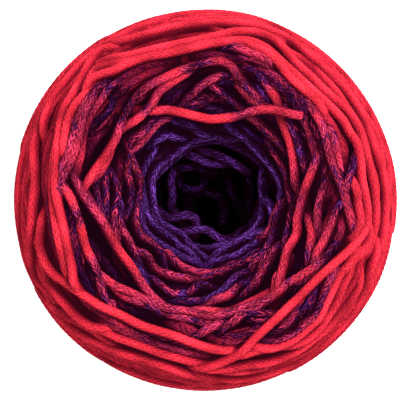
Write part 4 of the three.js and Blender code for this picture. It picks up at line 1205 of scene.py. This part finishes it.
def cord_finish(name):
    material = bpy.data.materials.new(name)
    material.use_nodes = True
    tree = material.node_tree
    calc = calculator(tree)

    def attribute(label, output="Fac"):
        return add_node(tree, "ShaderNodeAttribute", attribute_name=label).outputs[output]

    tone = attribute("tone")
    start = attribute("start")
    straight = calc("ADD", attribute("along"), start)
    ring = add_node(tree, "ShaderNodeSeparateXYZ", {0: attribute("ring", "Vector")}).outputs
    even_turn = calc("ARCTAN2", ring[1], ring[0])

    # The stitches are pulled about, each stretch a little differently
    spot = vector(tree, calc("DIVIDE", straight, PULL_LENGTH), calc("SINE", even_turn),
                  calc("COSINE", even_turn))
    pulls = add_node(tree, "ShaderNodeSeparateColor", {0: noise(tree, "3D", spot)["Color"]}).outputs
    along = calc("ADD", straight, calc("MULTIPLY", calc("SUBTRACT", pulls[0], 0.5), PULL_ALONG))
    turn = calc("ADD", even_turn, calc("MULTIPLY", calc("SUBTRACT", pulls[1], 0.5), PULL_AROUND))
    places = {"Along": along, "Turn": turn}
    stitches = add_node(tree, "ShaderNodeGroup", places, node_tree=STITCHES).outputs
    threads = {**places, "Tone": tone, "Start": start, "Thread Cell": stitches["Thread Cell"]}
    colour = add_node(tree, "ShaderNodeGroup", threads, node_tree=THREAD_COLOURS).outputs["Colour"]

    # Painted shade: darker in the gaps between stitches, on the flanks and where higher cords stand around
    plain, between = by_tone(calc, tone)
    gap = calc("MULTIPLY", stitches["Gap"], between(GAP_DARKNESS, PLAIN_GAP_DARKNESS))
    in_gap = calc("POWER", calc("SUBTRACT", 1.0, gap, clamp=True), between(1.8, 1.0))
    in_shade = calc("POWER", calc("SUBTRACT", 1.0, attribute("shade"), clamp=True), SHADE_DARKNESS)
    wrap = between(-0.15, 0.3)
    flank = calc("DIVIDE", calc("ADD", attribute("up"), wrap), calc("ADD", wrap, 0.85), clamp=True)
    flank = calc("POWER", flank, between(2.1, 1.4))
    least = calc("MULTIPLY", between(0.3, 1.0), FLANK_LIGHT)
    on_flank = calc("MULTIPLY_ADD", flank, calc("SUBTRACT", 1.0, least), least)
    light = calc("MULTIPLY", calc("MULTIPLY", in_gap, in_shade), on_flank)
    # The painted shade darkens green faster than red and blue
    painted_shade = add_node(tree, "ShaderNodeCombineColor", {0: light, 1: calc("POWER", light, 1.35), 2: light})

    # A painted glow: the cords give off a little light of their own, which lifts their darkest gaps
    glow_colour = mixed(tree, calc("MULTIPLY", tone, tone, clamp=True), BLACK_GLOW_COLOUR, MIXED_GLOW_COLOUR)
    bump = add_node(tree, "ShaderNodeBump", {
        "Strength": 1.0,
        "Distance": BUMP_RELIEF * MM,
        "Height": stitches["Height"],
    })
    shader = tree.nodes["Principled BSDF"]
    for label, value in (
        ("Base Color", mixed(tree, 1.0, colour, painted_shade.outputs[0], blend="MULTIPLY")),
        ("Roughness", 0.85),
        ("Specular IOR Level", 0.0),
        ("Emission Color", mixed(tree, plain, glow_colour, RED_GLOW_COLOUR)),
        ("Emission Strength", PAINTED_GLOW),
        ("Normal", bump.outputs["Normal"]),
    ):
        feed(tree, shader.inputs[label], value)
    return material


CORD_FINISH = cord_finish("knitted cord")


# The bed under the turns, as one closed surface. Flat faces close it in the hole and under the foot.
def bed_piece():
    columns = 96
    row_spacing = 3.0
    stations = np.arange(2.0, PROFILE_LENGTHS[-1] - 1.0, row_spacing)
    points, rings, faces = [], [], []
    lists = {"tone": [], "along": [], "shade": [], "up": []}
    for station in stations:
        radius = float(np.interp(station, PROFILE_LENGTHS, PROFILE[:, 0]))
        outside = station > PROFILE_LENGTHS[CROWN_ROWS]
        turn = 2.0 * station / CORD
        for column in range(columns):
            angle = 2 * math.pi * column / columns
            points.append(bed_place(angle, station)[0] * MM)
            rings.extend((math.cos(turn), math.sin(turn), 0.0))
            lists["tone"].append(RED_TONE if outside else float(np.interp(radius, *BED_TONES)))
            lists["along"].append(angle * BALL_RADIUS)
            # The bed is painted in shade, as it lies under the turns
            lists["shade"].append(BED_SHADE)
            lists["up"].append(1.0)
    last = (len(stations) - 1) * columns
    for row in range(0, last, columns):
        for column in range(columns):
            beside = (column + 1) % columns
            faces.append((row + column, row + beside, row + columns + beside, row + columns + column))
    faces.append(tuple(reversed(range(columns))))
    faces.append(tuple(last + column for column in range(columns)))
    mesh = bpy.data.meshes.new("inner_turns")
    mesh.from_pydata(points, [], faces)
    mesh.polygons.foreach_set("use_smooth", [True] * len(mesh.polygons))
    mesh.materials.append(CORD_FINISH)
    store_numbers(mesh, lists, {"ring": rings})
    piece = new_object("inner_turns", mesh)
    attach(piece, "root")
    return piece


# The loose end's route, from where it comes out under a crossing cord to its blunt cut end, and its tone
LOOSE_END = [
    # x, y, z
    (-19.2, 29.0, 88.0),
    (-16.4, 28.8, 87.8),
    (-12.6, 29.2, 87.0),
    (-9.7, 28.8, 86.4),
    (-6.9, 28.2, 86.1),
    (-2.6, 27.1, 85.5),
    (1.7, 26.2, 85.2),
    (4.3, 26.3, 85.3),
    (8.3, 26.7, 85.9),
    (11.5, 27.5, 86.9),
    (14.6, 28.5, 88.4),
    (18.0, 29.2, 90.2),
    (21.5, 29.2, 91.3),
    (23.8, 28.8, 91.5),
    (27.2, 27.9, 91.2),
    (31.4, 27.0, 90.6),
]
LOOSE_TONES = [2.8, 2.8, 2.8, 2.85, 2.95, 3.0, 3.0, 3.0, 2.9, 2.3, 2.4, 2.7, 2.8, 2.8, 2.7, 2.6]

# The same cord before that, under the crossing ones
HIDDEN_START = [
    # x, y, z
    (-38.5, 27.6, 81.0),
    (-34.0, 28.2, 84.5),
    (-29.0, 29.2, 86.0),
    (-25.0, 29.3, 87.2),
    (-21.5, 29.1, 87.9),
    (-18.0, 28.9, 88.0),
]
LOOSE_NEAR = 4     # the crossing cords clear this many places at the loose end's start

# The camera looks down the winding axis, and the light comes from the upper right
CAMERA_LENS = 308.0
LAMP_PLACE = (0.35, 0.40, 1.0)
LAMP_AIM = (0, 0, 0.06)
LAMP_POWER = 17.0
LAMP_SIZE = 0.5
SKY_STRENGTH = 0.54
FLOOR_REACH = 3.0
FLOOR_GREY = 0.85
FLOOR_GLOW = 0.9     # seen directly the floor is brighter by this, so that it stays white beside the object


def camera_and_lights():
    camera = bpy.data.cameras.new("camera")
    camera.lens = CAMERA_LENS
    camera.sensor_width = 36.0
    camera.clip_end = 10.0
    holder = new_object("camera", camera)
    holder.location = EYE * MM
    bpy.context.scene.camera = holder

    key = bpy.data.lights.new("key", "AREA")
    key.energy = LAMP_POWER
    key.shape = "DISK"
    key.size = LAMP_SIZE
    lamp = new_object("key", key)
    lamp.location = LAMP_PLACE
    lamp.rotation_euler = (Vector(LAMP_AIM) - lamp.location).to_track_quat("-Z", "Y").to_euler()

    world = bpy.data.worlds.new("studio")
    world.use_nodes = True
    sky = world.node_tree.nodes["Background"]
    sky.inputs["Color"].default_value = (1, 1, 1, 1)
    sky.inputs["Strength"].default_value = SKY_STRENGTH
    bpy.context.scene.world = world
    bpy.context.scene.view_settings.view_transform = "Standard"


def floor():
    mesh = bpy.data.meshes.new("floor")
    corners = [(x * FLOOR_REACH, y * FLOOR_REACH, 0) for x, y in ((-1, -1), (1, -1), (1, 1), (-1, 1))]
    mesh.from_pydata(corners, [], [(0, 1, 2, 3)])
    material = bpy.data.materials.new("floor")
    material.use_nodes = True
    tree = material.node_tree
    seen = add_node(tree, "ShaderNodeLightPath").outputs["Is Camera Ray"]
    shader = tree.nodes["Principled BSDF"]
    for label, value in (
        ("Base Color", (FLOOR_GREY, FLOOR_GREY, FLOOR_GREY, 1)),
        ("Roughness", 1.0),
        ("Specular IOR Level", 0.0),
        ("Emission Color", (1, 1, 1, 1)),
        ("Emission Strength", calculator(tree)("MULTIPLY", seen, FLOOR_GLOW)),
    ):
        feed(tree, shader.inputs[label], value)
    mesh.materials.append(material)
    new_object("floor", mesh)


camera_and_lights()
floor()

# The cords are laid in this order, each on the ones before it
bed = bed_piece()
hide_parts("wound_cord")
side_turns = outer_turns()
foot = foot_cords()
under = under_cords()
deep = [lay_route(places, DEEP_TOP) for places in DEEP_CORDS]
hole = hole_cords()
purple = [lay_route(places, PURPLE_TOP, bridge=BRIDGE) for places in PURPLE_CORDS]
raised = [lay_route(places, RAISED_TOP, bridge=BRIDGE, first=RAISED_HEIGHT) for places in RAISED_CORDS]
mixed_cords = [lay_route(places, MIXED_TOP, bridge=BRIDGE) for places in MIXED_CORDS]
loose_route = [Vector(place) for place in LOOSE_END]
hidden_route = [Vector(place) for place in smooth_route(HIDDEN_START)]
laid_places.extend(loose_route[:LOOSE_NEAR] + hidden_route)
hidden = [free_cord(hidden_route, [HIDDEN_TONE] * len(hidden_route))]
crossing = [lay_route(places, CROSSING_TOP) for places in CROSSING_CORDS]
rim = rim_cords()
red = [lay_route(places, RED_TOP) for places in RED_CORDS]

groups = {
    # name: its cords, the sides of their section, the distance of its rings
    "side_turns_first": (side_turns[:TURNS_A_PASS], 6, 1.6),
    "side_turns_second": (side_turns[TURNS_A_PASS:2 * TURNS_A_PASS], 8, 1.2),
    "side_turns_last": (side_turns[2 * TURNS_A_PASS:], 10, 1.2),
    "foot_cords": (foot, 8, 1.2),
    "crown_under_cords": (under, 8, 1.0),
    "crown_deep_cords": (deep + hidden, 12, 0.7),
    "hole_cords": (hole, 14, 0.6),
    "purple_cords": (purple, 14, 0.6),
    "mixed_cords": (raised + mixed_cords + crossing, 14, 0.6),
    "rim_cords": (rim, 10, 0.9),
    "red_cords": (red, 14, 0.6),
}
shade_cords([cord for cords, _, _ in groups.values() for cord in cords])
# More painted shade: the hole's cords by their dimness, the deep cords, the outer turns on the crown and
# the rim's cords at random
for cord, (_, dimness, _) in zip(hole, HOLE_CORDS.values()):
    cord.shades = [dimness + (1 - dimness) * HOLE_SHADE_SHARE * shade for shade in cord.shades]
for cord in deep:
    cord.add_painted_shade([DEEP_SHADE] * len(cord.shades))
for cord in side_turns:
    cord.add_painted_shade([TURN_SHADE * crown_share(facing, 0.4) for facing in cord.facings])
rim_draws = random.Random(9)
for cord in rim:
    cord.add_painted_shade([rim_draws.uniform(0, TURN_SHADE)] * len(cord.shades))

for name, (cords, sides, spacing) in groups.items():
    piece = knit(name, cords, sides, spacing)
    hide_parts("wound_cord")

loose = knit("loose_end_cord", [free_cord(loose_route, LOOSE_TONES)], sides=16, spacing=0.5)
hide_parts("loose_end")
